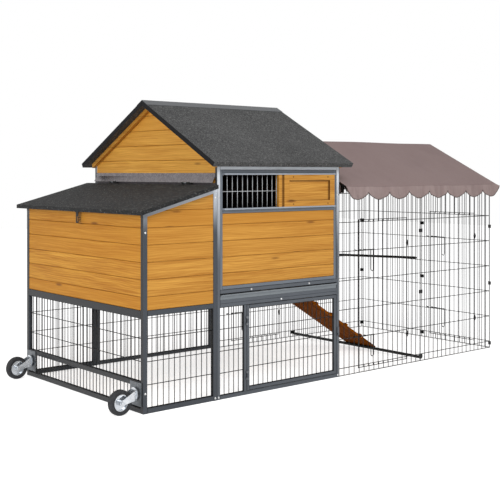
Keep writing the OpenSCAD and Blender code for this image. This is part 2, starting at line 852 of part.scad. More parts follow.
// Fixed hinge pins, the hasp staple and the hanger rod
module fixed_hardware()
    color("silver") {
        lid_hinge_pins();
        hasp_staple();
        ramp_pins();
        door_pins();
        at([x_pen + hanger_out, house_tube / 2, hanger_low_z]) {
            cylinder(h = hanger_l, r = hanger_r);
            for (z = [0, hanger_l - 2 * hanger_r])
                translate([fit - hanger_out, 0, z + hanger_r]) rod_x(hanger_out, hanger_r);
        }
    }

module lid_hinge_pins()
    for (s = lid_hinge_shares)
        at([lid_pin_x, coop_w * s - lid_eye_l / 2, lid_pin_z]) {
            translate([0, -lid_eye_l - run, 0]) rod_y(3 * lid_eye_l + 2 * run, lid_pin_r);
            rod_y(lid_eye_l, lid_eye_r);
            translate([0, 0, -leaf_t / 2]) cube([lid_pin_back + board_inset - fit, lid_eye_l, leaf_t]);
        }

module hasp_staple()
    at([0, coop_w / 2, hasp_pin_z - hasp_l + hasp_slot_w + hasp_slot_h / 2]) {
        for (z = [-staple_h / 2, staple_h / 2])
            translate([-staple_reach, 0, z]) rod_x(staple_reach + board_inset - fit, staple_r);
        translate([-staple_reach, 0, -staple_h / 2]) cylinder(h = staple_h, r = staple_r);
    }

module ramp_pins()
    for (y = [ramp_eye_w, ramp_w - 2 * ramp_eye_w])
        at([ramp_pin_x, ramp_y + y, ramp_pin_z]) {
            lug = ramp_eye_w / 2 - run;
            root = ramp_pin_x - x_pen - fit;
            translate([0, -lug - run, 0]) rod_y(ramp_eye_w + 2 * (lug + run), ramp_pin_r);
            for (side = [-lug - run, ramp_eye_w + run])
                translate([-root, side, -ramp_pin_r]) cube([root, lug, 2 * ramp_pin_r]);
        }

module door_pins()
    for (s = hinge_shares)
        at([door_pin_x, door_pin_y, door_z + door_h * s]) {
            h = hinge_l / 4 - run;
            translate([0, 0, -hinge_l / 2]) cylinder(h = hinge_l, r = hinge_pin_r);
            for (z = [-hinge_l / 2, hinge_l / 2 - h])
                translate([0, 0, z]) {
                    cylinder(h = h, r = hinge_r);
                    translate([-divider_w / 2, 0, 0]) cube([divider_w / 2, -door_pin_y - fit, h]);
                }
        }

// Runners on the deck rails that carry the tray
module tray_runners()
    color("gray")
        for (x = [tray_x, pan_end_x - runner_w])
            at([x, deck_y, house_deck_z + fit]) cube([runner_w, deck_l, runner_h - fit]);

// Droppings tray: an open pan behind a long front with a folded pull lip
module droppings_tray()
    color("lightgray") at([tray_x, tray_y, tray_z]) {
        difference() {
            cube([pan_l, tray_l, tray_h]);
            translate([sheet_t, sheet_t, sheet_t])
                cube([pan_l - 2 * sheet_t, tray_l - 2 * sheet_t, tray_h]);
        }
        plate_yz(tray_front_l) polygon([
            [-sheet_t, 0], [sheet_t, 0], [sheet_t, tray_h], [-tray_lip, tray_h],
            [-tray_lip, tray_h - tray_lip_drop], [sheet_t - tray_lip, tray_h - tray_lip_drop],
            [sheet_t - tray_lip, tray_h - sheet_t], [-sheet_t, tray_h - sheet_t]
        ]);
    }

// Perches across the house
module roost_bars()
    color("burlywood") {
        front = panel_y + board_inset + board_t + fit;
        for (s = roost_place_shares)
            at([x_house + house_l * s, front, deck_z + (wall_z - deck_z) * roost_height_share])
                rod_y(coop_w - front - board_inset - board_t - fit, roost_r);
    }

// Frame of the ramp: the pin at the origin, x down the slope
module on_ramp()
    at([ramp_pin_x, ramp_y, ramp_pin_z]) rotate([0, ramp_angle, 0]) children();

// Ramp board with two strap eyes on the pins
module ramp_board()
    color("sienna") on_ramp() {
        top = 2 * ramp_eye_r;
        translate([top, 0, -ramp_t / 2]) cube([ramp_l - top, ramp_w, ramp_t]);
        for (y = [ramp_eye_w, ramp_w - 2 * ramp_eye_w])
            translate([0, y, 0]) difference() {
                union() {
                    rod_y(ramp_eye_w, ramp_eye_r);
                    translate([0, 0, -ramp_eye_r]) cube([top + over, ramp_eye_w, ramp_eye_r]);
                    translate([0, 0, -ramp_t / 2 - ramp_strap_t])
                        cube([ramp_strap_l, ramp_eye_w, ramp_strap_t + over]);
                }
                translate([0, -over, 0]) rod_y(ramp_eye_w + 2 * over, ramp_pin_r + run / 4);
            }
    }

// Cleats across the ramp
module ramp_cleats()
    color("saddlebrown") on_ramp() {
        pitch = (ramp_l - cleat_start - cleat_w) / cleat_n;
        for (k = [0:cleat_n - 1])
            translate([cleat_start + k * pitch, 0, ramp_t / 2 + fit])
                cube([cleat_w, ramp_w, cleat_h - fit]);
    }

// Frame of the lower door with its hinge eyes
module run_door_frame()
    color("dimgray") {
        at([door_x, 0, door_z]) {
            for (x = [0, door_l - door_tube])
                translate([x, 0, 0]) bar_z(door_h, door_tube);
            for (z = [0, door_h - door_tube])
                translate([door_tube + fit, 0, z]) bar_x(door_l - 2 * door_tube - 2 * fit, door_tube);
        }
        for (s = hinge_shares)
            at([door_pin_x, door_pin_y, door_z + door_h * s - hinge_l / 4])
                difference() {
                    union() {
                        cylinder(h = hinge_l / 2, r = hinge_r);
                        cube([door_tube / 2, over - door_pin_y, hinge_l / 2]);
                    }
                    translate([0, 0, -over]) cylinder(h = hinge_l, r = hinge_pin_r + run / 4);
                    translate([-over, hinge_r + run / 2, -over])
                        cube([door_gap / 2 + over + run, hinge_l, hinge_l]);
                }
    }

module run_door_mesh()
    color("slategray") at([0, (door_tube - mesh_wire) / 2, 0]) {
        in = door_tube + fit;
        mesh(door_x + in, door_x + door_l - in, mesh_rows(door_z + in, door_z + door_h - in));
    }

// Turn button on the corner post beside the lower door
module run_door_button()
    color("gray") at([x_pen - house_tube / 2, -button_t - run, door_z + door_h * button_z_share]) {
        translate([-button_w / 2, 0, -button_w / 2]) cube([button_w, button_t, button_l]);
        translate([0, -bolt_h, 0]) rod_y(bolt_h + over, bolt_r);
    }

// Plates, fixed races and kingpins of the two casters
module caster_plates()
    color("silver") at([0, 0, 0]) on_both_sides() translate([-fit, caster_in, caster_z]) {
        translate([-plate_t, -plate_w / 2, -plate_h / 2]) cube([plate_t, plate_w, plate_h]);
        translate([-plate_t - race_h, 0, 0]) rod_x(race_h + over, race_r);
        reach = plate_t + race_h + 2 * run + head_h + kingpin_h;
        translate([-reach, 0, 0]) rod_x(reach, kingpin_r);
        translate([-reach, 0, 0]) rod_x(kingpin_h, 2 * kingpin_r);
    }

// Swivel fork of a caster with its axle bolt, counted from the swivel axis
module caster_fork() {
    head_x = -fit - plate_t - race_h - run - head_h;
    leg_y = tyre_w / 2 + leg_gap;
    root = head_r * leg_root_share;
    difference() {
        translate([head_x, 0, 0]) rod_x(head_h, head_r);
        translate([head_x - over, 0, 0]) rod_x(head_h + 2 * over, kingpin_r + run);
    }
    for (side = [0, 1])
        mirror([0, side, 0]) translate([0, leg_y, 0]) plate_xz(leg_t) {
            polygon([
                [head_x + head_h, root], [head_x + head_h, -root],
                [leg_end_r / 2 - caster_out, -caster_trail - leg_end_r * leg_root_share],
                [-caster_out, leg_end_r * leg_root_share - caster_trail]
            ]);
            translate([-caster_out, -caster_trail]) circle(r = leg_end_r);
        }
    axle_l = 2 * (leg_y + leg_t + axle_nut_h);
    translate([-caster_out, -axle_l / 2, -caster_trail]) {
        rod_y(axle_l, axle_r);
        for (y = [0, axle_l - axle_nut_h])
            translate([0, y, 0]) rotate([-90, 0, 0]) cylinder(h = axle_nut_h, r = axle_nut_r, $fn = 6);
    }
}

module front_caster_fork()
    color("silver") at([0, caster_in, caster_z]) caster_fork();

module back_caster_fork()
    color("silver") at([0, coop_w - caster_in, caster_z]) caster_fork();

// Dished wheel body on a long hub
module wheel_hub()
    rotate([90, 0, 0]) rotate_extrude() polygon([
        [axle_r + run / 2, -tyre_w / 2], [hub_r, -tyre_w / 2], [hub_r, -web_t / 2],
        [rim_r - rim_wall, -web_t / 2], [rim_r - rim_wall, -rim_half], [rim_r, -rim_half],
        [rim_r, rim_half], [rim_r - rim_wall, rim_half], [rim_r - rim_wall, web_t / 2],
        [hub_r, web_t / 2], [hub_r, tyre_w / 2], [axle_r + run / 2, tyre_w / 2]
    ]);

// Tyre with round shoulders
module tyre()
    rotate([90, 0, 0]) rotate_extrude() {
        inner = rim_r + fit;
        shoulder = wheel_d / 2 - tyre_round;
        translate([inner, -tyre_w / 2]) square([shoulder - inner, tyre_w]);
        translate([inner, tyre_round - tyre_w / 2])
            square([wheel_d / 2 - inner, tyre_w - 2 * tyre_round]);
        for (side = [-1, 1])
            translate([shoulder, side * (tyre_w / 2 - tyre_round)]) circle(r = tyre_round);
    }

module front_wheel_hub()
    color("silver") at([-caster_out, caster_in, wheel_d / 2]) wheel_hub();

module back_wheel_hub()
    color("silver") at([-caster_out, coop_w - caster_in, wheel_d / 2]) wheel_hub();

module front_tyre()
    color("darkslategray") at([-caster_out, caster_in, wheel_d / 2]) tyre();

module back_tyre()
    color("darkslategray") at([-caster_out, coop_w - caster_in, wheel_d / 2]) tyre();

// Domed bolt head on a face that looks along -y
module bolt_head()
    translate([0, -fit, 0]) rotate([90, 0, 0]) {
        ball = (bolt_r * bolt_r + bolt_h * bolt_h) / (2 * bolt_h);
        intersection() {
            translate([0, 0, bolt_h - ball]) sphere(r = ball);
            cylinder(h = bolt_h, r = bolt_r);
        }
    }

// Bolt heads on the posts and rails, front and back
module frame_bolts()
    color("whitesmoke") at([0, 0, 0]) {
        on_both_sides() {
            for (s = nest_bolt_shares)
                translate([tube / 2, 0, nest_low_z * s]) bolt_head();
            for (s = post_bolt_shares)
                for (x = [x_house - tube / 2, x_house + house_tube / 2, x_pen - house_tube / 2])
                    translate([x, 0, wall_z * s]) bolt_head();
            translate([x_house + house_l / 2, 0, deck_rail_z + house_tube / 2]) bolt_head();
            for (s = side_bolt_shares)
                translate([x_pen, house_tube / 2, wall_z * s]) rotate([0, 0, 90]) bolt_head();
        }
        for (s = rail_bolt_shares)
            translate([x_house + house_l * s, 0, tray_rail_z + house_tube / 2]) bolt_head();
    }

// Sides of the run: x runs along a side, y runs inwards
module front_side()
    at([x_pen, 0, 0]) children();

module back_side()
    at([x_pen, pen_w, 0]) mirror([0, 1, 0]) children();

module end_side()
    at([x_end, 0, 0]) rotate([0, 0, 90]) children();

module pen_net(xs, hole = [0, 0, 0, 0])
    net(xs, pen_rows, pen_wire, pen_rim, pen_wire, hole);

function hinge_z(s) = run_door_low + (run_door_high - run_door_low) * s;

// Keeper rings and hinge pins of a door on its panel, the keepers at one wire
module door_keeps(keeper_x, pin_x) {
    for (z = bolt_heights)
        translate([keeper_x - keeper_w / 2, bolt_y, z]) difference() {
            union() {
                rod_x(keeper_w, eye_r);
                translate([0, 0, -eye_r]) cube([keeper_w, over - bolt_y, 2 * eye_r]);
            }
            translate([-over, 0, 0]) rod_x(keeper_w + 2 * over, eye_bore);
        }
    for (s = hinge_shares)
        translate([pin_x, pen_pin_y, hinge_z(s)]) {
            translate([0, 0, -pin_h / 2]) cylinder(h = pin_h, r = rod_r);
            for (z = [-pin_h / 2, pin_h / 2 - pen_wire])
                translate([-rod_r, 0, z]) cube([2 * rod_r, over - pen_pin_y, pen_wire]);
        }
}

// A wire door: net, hinge eyes and bolt guides, from its bolt edge to its hinge edge
module pen_door(door) {
    way = sign(door[1] - door[0]);
    translate([0, pen_door_y, 0])
        net(
            mesh_lines(min(door), max(door), half_pen / side_gaps),
            concat([run_door_low], [for (j = [2:5]) pen_rows[j]], [run_door_high]),
            pen_wire, pen_rim, pen_wire
        );
    for (s = hinge_shares)
        translate([door[1] + way * pin_off, pen_pin_y, hinge_z(s) - eye_h / 2]) difference() {
            union() {
                cylinder(h = eye_h, r = eye_r);
                translate([way > 0 ? -pin_off - over : 0, pen_door_y - pen_pin_y, 0])
                    cube([pin_off + over, pen_wire, eye_h]);
            }
            translate([0, 0, -over]) cylinder(h = eye_h + 2 * over, r = eye_bore);
        }
    for (z = bolt_heights)
        for (place = guide_places)
            translate([door[0] + way * (place + guide_w / 2) - guide_w / 2, bolt_y, z])
                difference() {
                    union() {
                        rod_x(guide_w, eye_r);
                        translate([0, 0, -eye_r]) cube([guide_w, pen_door_y - bolt_y + over, 2 * eye_r]);
                    }
                    translate([-over, 0, 0]) rod_x(guide_w + 2 * over, eye_bore);
                }
}

// A slide bolt with its hanging wire loop, drawn back from its keeper
module pen_bolt(door, height)
    translate([door[0], bolt_y, height]) mirror([door[1] > door[0] ? 0 : 1, 0, 0]) {
        last = rod_start + rod_l - rod_r;
        straight = loop_drop - loop_w / 2;
        translate([rod_start, 0, 0]) rod_x(rod_l, rod_r);
        for (x = [last - loop_w, last])
            translate([x, 0, -straight]) cylinder(h = straight, r = rod_r);
        translate([last - loop_w / 2, 0, -straight]) rotate([90, 0, 0])
            rotate_extrude(angle = -180) translate([loop_w / 2, 0]) circle(r = rod_r);
    }

module side_door_panel() {
    pen_net(side_lines, side_hole_n);
    door_keeps(side_lines[3], side_lines[14]);
}

module pen_front_door_panel()
    color("black") front_side() side_door_panel();

module pen_back_door_panel()
    color("black") back_side() side_door_panel();

module pen_end_door_panel()
    color("black") end_side() {
        pen_net(end_lines, end_hole_n);
        door_keeps(end_lines[13], end_lines[3]);
    }

// Panels without a door: one in the front, one in the back and one in the end
module pen_plain_panels()
    color("black") {
        lines = [for (x = side_lines) half_pen + x * corner_cut];
        front_side() pen_net(lines);
        back_side() pen_net(lines);
        end_side() translate([pen_w / 2, 0, 0]) pen_net(end_lines);
    }

// Clips that tie neighbouring panels and the corners together
module panel_clips()
    color("black")
        for (s = clip_shares)
            translate([0, 0, pen_h * s]) {
                front_side() {
                    joint_clip(half_pen);
                    corner_clip();
                }
                back_side() {
                    joint_clip(half_pen);
                    corner_clip();
                }
                end_side() joint_clip(pen_w / 2);
            }

module joint_clip(x)
    translate([x - clip_w / 2, -clip_t - fit, 0]) cube([clip_w, clip_t, clip_h]);

module corner_clip() {
    out = clip_t + fit;
    linear_extrude(clip_h) polygon([
        [pen_l - clip_w / 2, -out], [pen_l + out, -out], [pen_l + out, clip_w / 2],
        [pen_l + fit, clip_w / 2], [pen_l + fit, -fit], [pen_l - clip_w / 2, -fit]
    ]);
}

module pen_front_door()
    color("black") front_side() pen_door(side_door);

module pen_back_door()
    color("black") back_side() pen_door(side_door);

module pen_end_door()
    color("black") end_side() pen_door(end_door);

module front_bolt_upper()
    color("black") front_side() pen_bolt(side_door, bolt_heights[0]);

module front_bolt_lower()
    color("black") front_side() pen_bolt(side_door, bolt_heights[1]);

module back_bolt_upper()
    color("black") back_side() pen_bolt(side_door, bolt_heights[0]);

module back_bolt_lower()
    color("black") back_side() pen_bolt(side_door, bolt_heights[1]);

module end_bolt_upper()
    color("black") end_side() pen_bolt(end_door, bolt_heights[0]);

module end_bolt_lower()
    color("black") end_side() pen_bolt(end_door, bolt_heights[1]);

// Tie bar on the ground under the ramp's foot and the perch across a far corner
module pen_bars()
    color("black") {
        clear = pen_wire + fit;
        at([tie_x, clear, tie_z]) rod_y(pen_w - 2 * clear, tie_r);
        perch_z = pen_rows[perch_row] + pen_wire / 2 + perch_r + fit;
        from = [x_pen + pen_l * perch_side_share, pen_w];
        to = [x_end, pen_w * perch_end_share];
        turn = atan2(to[1] - from[1], to[0] - from[0]);
        intersection() {
            at([from[0], from[1], perch_z]) rotate([0, 0, turn]) translate([-pen_w / 2, 0, 0])
                rod_x(2 * pen_w, perch_r);
            at([x_pen, clear, 0]) cube([pen_l - clear, pen_w - 2 * clear, pen_h]);
        }
    }

// Height of the rafters just under the canopy cloth
function canopy_under(y) =
    canopy_ridge_z - cloth_t - cloth_seat - canopy_tan * abs(y - canopy_mid);

// Tube frame under the canopy: three pairs of rafters on stubs, ridge and eave poles
module canopy_frame()
    color("black") {
        low_y = pole_in - canopy_side_over;
        low_z = canopy_under(low_y);
        peak_y = canopy_mid - fit;
        peak_z = canopy_under(peak_y);
        for (x = rafter_places)
            canopy_sides(x) {
                plate_yz(pole) polygon([
                    [low_y, low_z - rafter_v], [peak_y, peak_z - rafter_v], [peak_y, peak_z], [low_y, low_z]
                ]);
                plate_yz(pole) polygon([
                    [0, pen_h + fit], [pole, pen_h + fit],
                    [pole, canopy_under(pole) - rafter_v - fit], [0, canopy_under(0) - rafter_v - fit]
                ]);
            }
        for (i = [0, 1]) {
            x = rafter_places[i] + pole + fit;
            l = rafter_places[i + 1] - x - fit;
            at([x_pen + x, canopy_mid - pole / 2, peak_z - pole - rafter_v / 2]) bar_x(l, pole);
            canopy_sides(x) translate([0, low_y, low_z - pole - rafter_v / 2]) bar_x(l, pole);
        }
    }

// Both slopes of the canopy, the back one mirrored
module canopy_sides(x)
    for (back = [0, 1])
        at([x_pen + x, back * pen_w, 0]) mirror([0, back, 0]) children();

// Depth of the valance: full round arches between notches, rounded off at both ends
function round_off(d) = d >= 1 ? 1 : sqrt(max(0, 1 - (1 - d) * (1 - d)));
function hem_depth(u) =
    let (
        f = u * scallop_n - floor(u * scallop_n),
        arch = pow(sin(180 * f), hem_round_share),
        ends = round_off(min(u, 1 - u) * scallop_n / end_round_share)
    )
    (notch_h + (valance_h - notch_h) * arch) * (end_depth_share + (1 - end_depth_share) * ends);

// A point of the cloth: u along the ridge, then the side, valance or slope, and the share across it
function cloth_point(u, row, inner) =
    let (
        side = row[0],
        hang = row[1] * row[2],
        slope = (1 - row[1]) * row[2],
        bay = sin(360 * u) * sin(360 * u),
        sag = canopy_sag * bay * (edge_sag_share + (1 - edge_sag_share) * sin(180 * slope)),
        wave = hang * (valance_out + valance_wave * sin(360 * u * scallop_n)),
        end_x = x_end + canopy_end_over + slope * (ridge_end_over - canopy_end_over)
            + hang * valance_end_out,
        y = canopy_mid + side * ((1 - slope) * canopy_half + wave),
        z = canopy_eave_z + slope * canopy_rise - hang * hem_depth(u) - sag,
        in_y = slope == 0 ? -side * cloth_t : 0,
        in_z = row[1] == 1 ? 0 : -cloth_t
    )
    [canopy_x + u * (end_x - canopy_x), y + (inner ? in_y : 0), z + (inner ? in_z : 0)];

// Number of a cloth point by column, row and layer
function cloth_id(i, j, layer) = layer * canopy_count + i * canopy_row_n + j;

// Canopy cloth: one closed sheet with sagging slopes and scalloped, waving valances
module canopy() {
    last = canopy_row_n - 1;
    points = [
        for (inner = [false, true])
            for (i = [0:canopy_cols])
                for (r = canopy_rows) cloth_point(i / canopy_cols, r, inner)
    ];
    top = [
        for (i = [0:canopy_cols - 1])
            for (j = [0:last - 1])
                each [
                    [cloth_id(i, j, 0), cloth_id(i, j + 1, 0), cloth_id(i + 1, j + 1, 0)],
                    [cloth_id(i, j, 0), cloth_id(i + 1, j + 1, 0), cloth_id(i + 1, j, 0)]
                ]
    ];
    under = [for (f = top) [f[0] + canopy_count, f[2] + canopy_count, f[1] + canopy_count]];
    hems = [
        for (i = [0:canopy_cols - 1])
            each [
                [cloth_id(i, 0, 0), cloth_id(i + 1, 0, 0), cloth_id(i + 1, 0, 1)],
                [cloth_id(i, 0, 0), cloth_id(i + 1, 0, 1), cloth_id(i, 0, 1)],
                [cloth_id(i, last, 0), cloth_id(i + 1, last, 1), cloth_id(i + 1, last, 0)],
                [cloth_id(i, last, 0), cloth_id(i, last, 1), cloth_id(i + 1, last, 1)]
            ]
    ];
    ends = [
        for (j = [0:last - 1])
            each [
                [cloth_id(0, j, 0), cloth_id(0, j + 1, 1), cloth_id(0, j + 1, 0)],
                [cloth_id(0, j, 0), cloth_id(0, j, 1), cloth_id(0, j + 1, 1)],
                [
                    cloth_id(canopy_cols, j, 0), cloth_id(canopy_cols, j + 1, 0),
                    cloth_id(canopy_cols, j + 1, 1)
                ],
                [
                    cloth_id(canopy_cols, j, 0), cloth_id(canopy_cols, j + 1, 1),
                    cloth_id(canopy_cols, j, 1)
                ]
            ]
    ];
    color("rosybrown") at([0, 0, 0]) polyhedron(points, concat(top, under, hems, ends));
}

nest_frame();
house_front_frame();
house_back_frame();
cross_rails();
nest_meshes();
house_meshes();
nest_side_boards();
nest_end_boards();
floor_boards();
nest_divider();
left_wall();
right_wall();
back_wall();
front_panel_frame();
front_boards();
window_bars();
window_tracks();
window_shutter();
roof_front();
roof_back();
roof_rafters();
ridge_cap();
lid_flashing();
nest_lid();
lid_hasp();
fixed_hardware();
tray_runners();
droppings_tray();
roost_bars();
ramp_board();
ramp_cleats();
run_door_frame();
run_door_mesh();
run_door_button();
caster_plates();
front_caster_fork();
front_wheel_hub();
front_tyre();
back_caster_fork();
back_wheel_hub();
back_tyre();
frame_bolts();
pen_front_door_panel();
pen_back_door_panel();
pen_end_door_panel();
pen_plain_panels();
panel_clips();
pen_front_door();
pen_back_door();
pen_end_door();
front_bolt_upper();
front_bolt_lower();
back_bolt_upper();
back_bolt_lower();
end_bolt_upper();
end_bolt_lower();
pen_bars();
canopy_frame();
canopy();
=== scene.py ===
import math

import bpy
import numpy as np
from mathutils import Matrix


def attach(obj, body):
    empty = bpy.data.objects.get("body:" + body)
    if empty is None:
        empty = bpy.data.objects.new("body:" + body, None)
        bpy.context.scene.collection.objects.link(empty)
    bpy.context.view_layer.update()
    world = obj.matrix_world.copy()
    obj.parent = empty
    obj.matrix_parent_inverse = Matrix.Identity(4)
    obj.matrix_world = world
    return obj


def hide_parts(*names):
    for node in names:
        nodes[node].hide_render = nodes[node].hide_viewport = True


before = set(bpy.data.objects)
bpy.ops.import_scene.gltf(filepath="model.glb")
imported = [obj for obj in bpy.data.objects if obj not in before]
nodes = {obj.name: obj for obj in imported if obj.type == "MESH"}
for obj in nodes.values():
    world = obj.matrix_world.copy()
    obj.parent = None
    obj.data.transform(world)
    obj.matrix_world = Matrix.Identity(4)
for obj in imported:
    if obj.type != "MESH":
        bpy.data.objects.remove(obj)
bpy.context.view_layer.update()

# drawn sizes are millimetres from the front foot of the nest end, the frame is metres from the middle
coopCorner = np.array([-1371.25, -610.0, 0.0])


def inFrame(points):
    return (np.asarray(points, float) + coopCorner) * 0.001


# meshes from arrays


# a smooth mesh object from points and faces that rides on a body, with a flat cut as its UV where given
def addPiece(name, points, faces, material, body, replaced=(), uv=None):
    mesh = bpy.data.meshes.new(name)
    mesh.from_pydata(points.tolist(), [], faces)
    mesh.polygons.foreach_set("use_smooth", np.ones(len(mesh.polygons), bool))
    if uv is not None:
        corners = np.zeros(len(mesh.loops), np.int32)
        mesh.loops.foreach_get("vertex_index", corners)
        layer = mesh.uv_layers.new(name="cloth")
        layer.data.foreach_set("uv", uv[corners].astype(np.float32).ravel())
    mesh.materials.append(material)
    piece = bpy.data.objects.new(name, mesh)
    bpy.context.scene.collection.objects.link(piece)
    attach(piece, body)
    if replaced:
        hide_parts(*replaced)
    return piece


# rows of equal rings become a skin: every ring point joins the next one round and the next one along
def skinFaces(ringCount, sides, first=0, closed=True, capped=True):
    ring = np.arange(ringCount - 1)[:, None] * sides
    side = np.arange(sides if closed else sides - 1)[None, :]
    after = (side + 1) % sides
    quads = np.stack([ring + side, ring + after, ring + sides + after, ring + sides + side], -1)
    faces = (quads.reshape(-1, 4) + first).tolist()
    if capped:
        faces.append((np.arange(sides)[::-1] + first).tolist())
        faces.append((np.arange(sides) + (ringCount - 1) * sides + first).tolist())
    return faces


# pieces of one mesh are gathered as (points, faces) and numbered on
def joined(parts):
    starts = np.cumsum([0] + [len(points) for points, faces in parts])
    faces = [[int(c + s) for c in face] for (points, own), s in zip(parts, starts) for face in own]
    return np.concatenate([points for points, own in parts]), faces


# straight round wires: a circle of points at each start is carried to its end, both ends are flat caps
def straightWires(starts, ends, radii, sides=8):
    starts, ends = np.asarray(starts, float), np.asarray(ends, float)
    along = ends - starts
    along /= np.linalg.norm(along, axis=1, keepdims=True)
    helper = np.where(np.abs(along[:, 2:]) > 0.9, [[1.0, 0.0, 0.0]], [[0.0, 0.0, 1.0]])
    across = np.cross(along, helper)
    across /= np.linalg.norm(across, axis=1, keepdims=True)
    other = np.cross(along, across)
    turn = (np.arange(sides) + 0.5) * 2 * np.pi / sides
    ring = across[:, None] * np.cos(turn)[None, :, None] + other[:, None] * np.sin(turn)[None, :, None]
    ring *= np.broadcast_to(radii, len(starts))[:, None, None]
    points = np.stack([starts[:, None] + ring, ends[:, None] + ring], 1).reshape(-1, 3)
    faces = [f for k in range(len(starts)) for f in skinFaces(2, sides, k * 2 * sides)]
    return points, faces


# a wire bent in one plane: a circle stands square to the path at each of its points
def bentWire(path, planeNormal, radius, sides=10):
    path = np.asarray(path, float)
    along = np.gradient(path, axis=0)
    along /= np.linalg.norm(along, axis=1, keepdims=True)
    across = np.broadcast_to(np.asarray(planeNormal, float), path.shape)
    other = np.cross(along, across)
    turn = (np.arange(sides) + 0.5) * 2 * np.pi / sides
    ring = across[:, None] * np.cos(turn)[None, :, None] + other[:, None] * np.sin(turn)[None, :, None]
    return (path[:, None] + ring * radius).reshape(-1, 3), skinFaces(len(path), sides)


# a flat band bent in one plane: a small rectangle, wide across the plane, carried along the path
def bentBand(path, planeNormal, width, thick):
    path = np.asarray(path, float)
    along = np.gradient(path, axis=0)
    along /= np.linalg.norm(along, axis=1, keepdims=True)
    across = np.broadcast_to(np.asarray(planeNormal, float), path.shape)
    other = np.cross(along, across)
    corners = np.array([[1, 1], [-1, 1], [-1, -1], [1, -1]]) * [width / 2, thick / 2]
    ring = across[:, None] * corners[None, :, :1] + other[:, None] * corners[None, :, 1:]
    return (path[:, None] + ring).reshape(-1, 3), skinFaces(len(path), 4)


# a corner line with each inner corner replaced by a short quadratic curve
def roundedPath(corners, radius, steps=5):
    corners = np.asarray(corners, float)
    pieces = [corners[:1]]
    share = np.linspace(0, 1, steps)[:, None]
    for before, corner, after in zip(corners[:-2], corners[1:-1], corners[2:]):
        into = corner + (before - corner) / np.linalg.norm(before - corner) * radius
        out = corner + (after - corner) / np.linalg.norm(after - corner) * radius
        pieces.append((1 - share) ** 2 * into + 2 * share * (1 - share) * corner + share**2 * out)
    return np.concatenate(pieces + [corners[-1:]])


# shader expressions


class Link:  # one shader socket, on which arithmetic adds Math nodes
    def __init__(self, tree, socket=None):
        self.tree, self.socket = tree, socket

    def plug(self, port, value):
        if isinstance(value, Link):
            self.tree.links.new(value.socket, port)
        else:
            port.default_value = value

    def make(self, kind, settings, sockets, out=0):
        node = self.tree.nodes.new("ShaderNode" + kind)
        for key, value in settings.items():
            setattr(node, key, value)
        for key, value in sockets.items():
            self.plug(node.inputs[key], value)
        return Link(self.tree, node.outputs[out])

    def math(self, operation, first, second=0.0):
        return self.make("Math", {"operation": operation}, {0: first, 1: second})

    def __add__(self, other):
        return self.math("ADD", self, other)

    def __radd__(self, other):
        return self.math("ADD", other, self)

    def __sub__(self, other):
        return self.math("SUBTRACT", self, other)

    def __rsub__(self, other):
        return self.math("SUBTRACT", other, self)

    def __mul__(self, other):
        return self.math("MULTIPLY", self, other)

    def __rmul__(self, other):
        return self.math("MULTIPLY", other, self)

    def __truediv__(self, other):
        return self.math("DIVIDE", self, other)

    def __rtruediv__(self, other):
        return self.math("DIVIDE", other, self)

    def floor(self):
        return self.math("FLOOR", self)

    def sine(self):
        return self.math("SINE", self)

    def clamped(self):
        return self.make("Clamp", {}, {"Value": self})

    # 0 below low, 1 above high, smooth between
    def between(self, low, high):
        settings = {"interpolation_type": "SMOOTHSTEP"}
        return self.make("MapRange", settings, {"Value": self, "From Min": low, "From Max": high})

    def mixed(self, colourA, colourB):
        return self.make("Mix", {"data_type": "RGBA"}, {0: self, 6: colourA, 7: colourB}, out=2)

    def xyz(self):
        split = self.make("SeparateXYZ", {}, {0: self})
        outputs = split.socket.node.outputs
        return [Link(self.tree, outputs[k]) for k in range(3)]

    def vector(self, x, y, z):
        return self.make("CombineXYZ", {}, {0: x, 1: y, 2: z})

    def noise(self, where, scale, detail=3.0, rough=0.5, distort=0.0):
        sockets = {"Vector": where, "Scale": scale, "Detail": detail}
        sockets.update({"Roughness": rough, "Distortion": distort})
        return self.make("TexNoise", {}, sockets)

    # distance to the middle of the nearest cell
    def cells(self, where, scale):
        return self.make("TexVoronoi", {}, {"Vector": where, "Scale": scale})

    # one of three numbers drawn for each cell
    def cellDraw(self, where, scale, draw=0):
        return self.make("TexVoronoi", {}, {"Vector": where, "Scale": scale}, out=1).xyz()[draw]

    # -1 to 1: how far a surface looks along x, y or z of its own piece
    def facing(self, axis):
        return self.make("TexCoord", {}, {}, out=1).xyz()["xyz".index(axis)]

    # 1 for rays from the eye, mirrored or let through, 0 for the rest
    def seenRays(self):
        rays = self.make("LightPath", {}, {})
        seen = rays
        for ray in ("Is Glossy Ray", "Is Transmission Ray"):
            seen = self.math("MAXIMUM", seen, Link(self.tree, rays.socket.node.outputs[ray]))
        return seen

    def dice(self, where):
        return self.make("TexWhiteNoise", {"noise_dimensions": "3D"}, {"Vector": where})

    def bump(self, height, strength, distance):
        sockets = {"Height": height, "Strength": strength, "Distance": distance}
        return self.make("Bump", {}, sockets)


# a written sRGB colour as the linear one a shader takes
def paint(red, green, blue):
    c = np.array([red, green, blue]) / 255.0
    linear = np.where(c <= 0.04045, c / 12.92, ((c + 0.055) / 1.055) ** 2.4)
    return (*linear.tolist(), 1.0)


# a new material: its tree as a Link, object coordinates, and a closing call for the shader's sockets
def newFinish(name):
    finish = bpy.data.materials.new(name)
    finish.use_nodes = True
    tree = finish.node_tree
    shader = tree.nodes["Principled BSDF"]
    link = Link(tree)
    where = link.make("TexCoord", {}, {}, out=3)

    def close(**sockets):
        for key, value in sockets.items():
            link.plug(shader.inputs[key.replace("_", " ")], value)
        return finish

    return link, where, close


# finishes

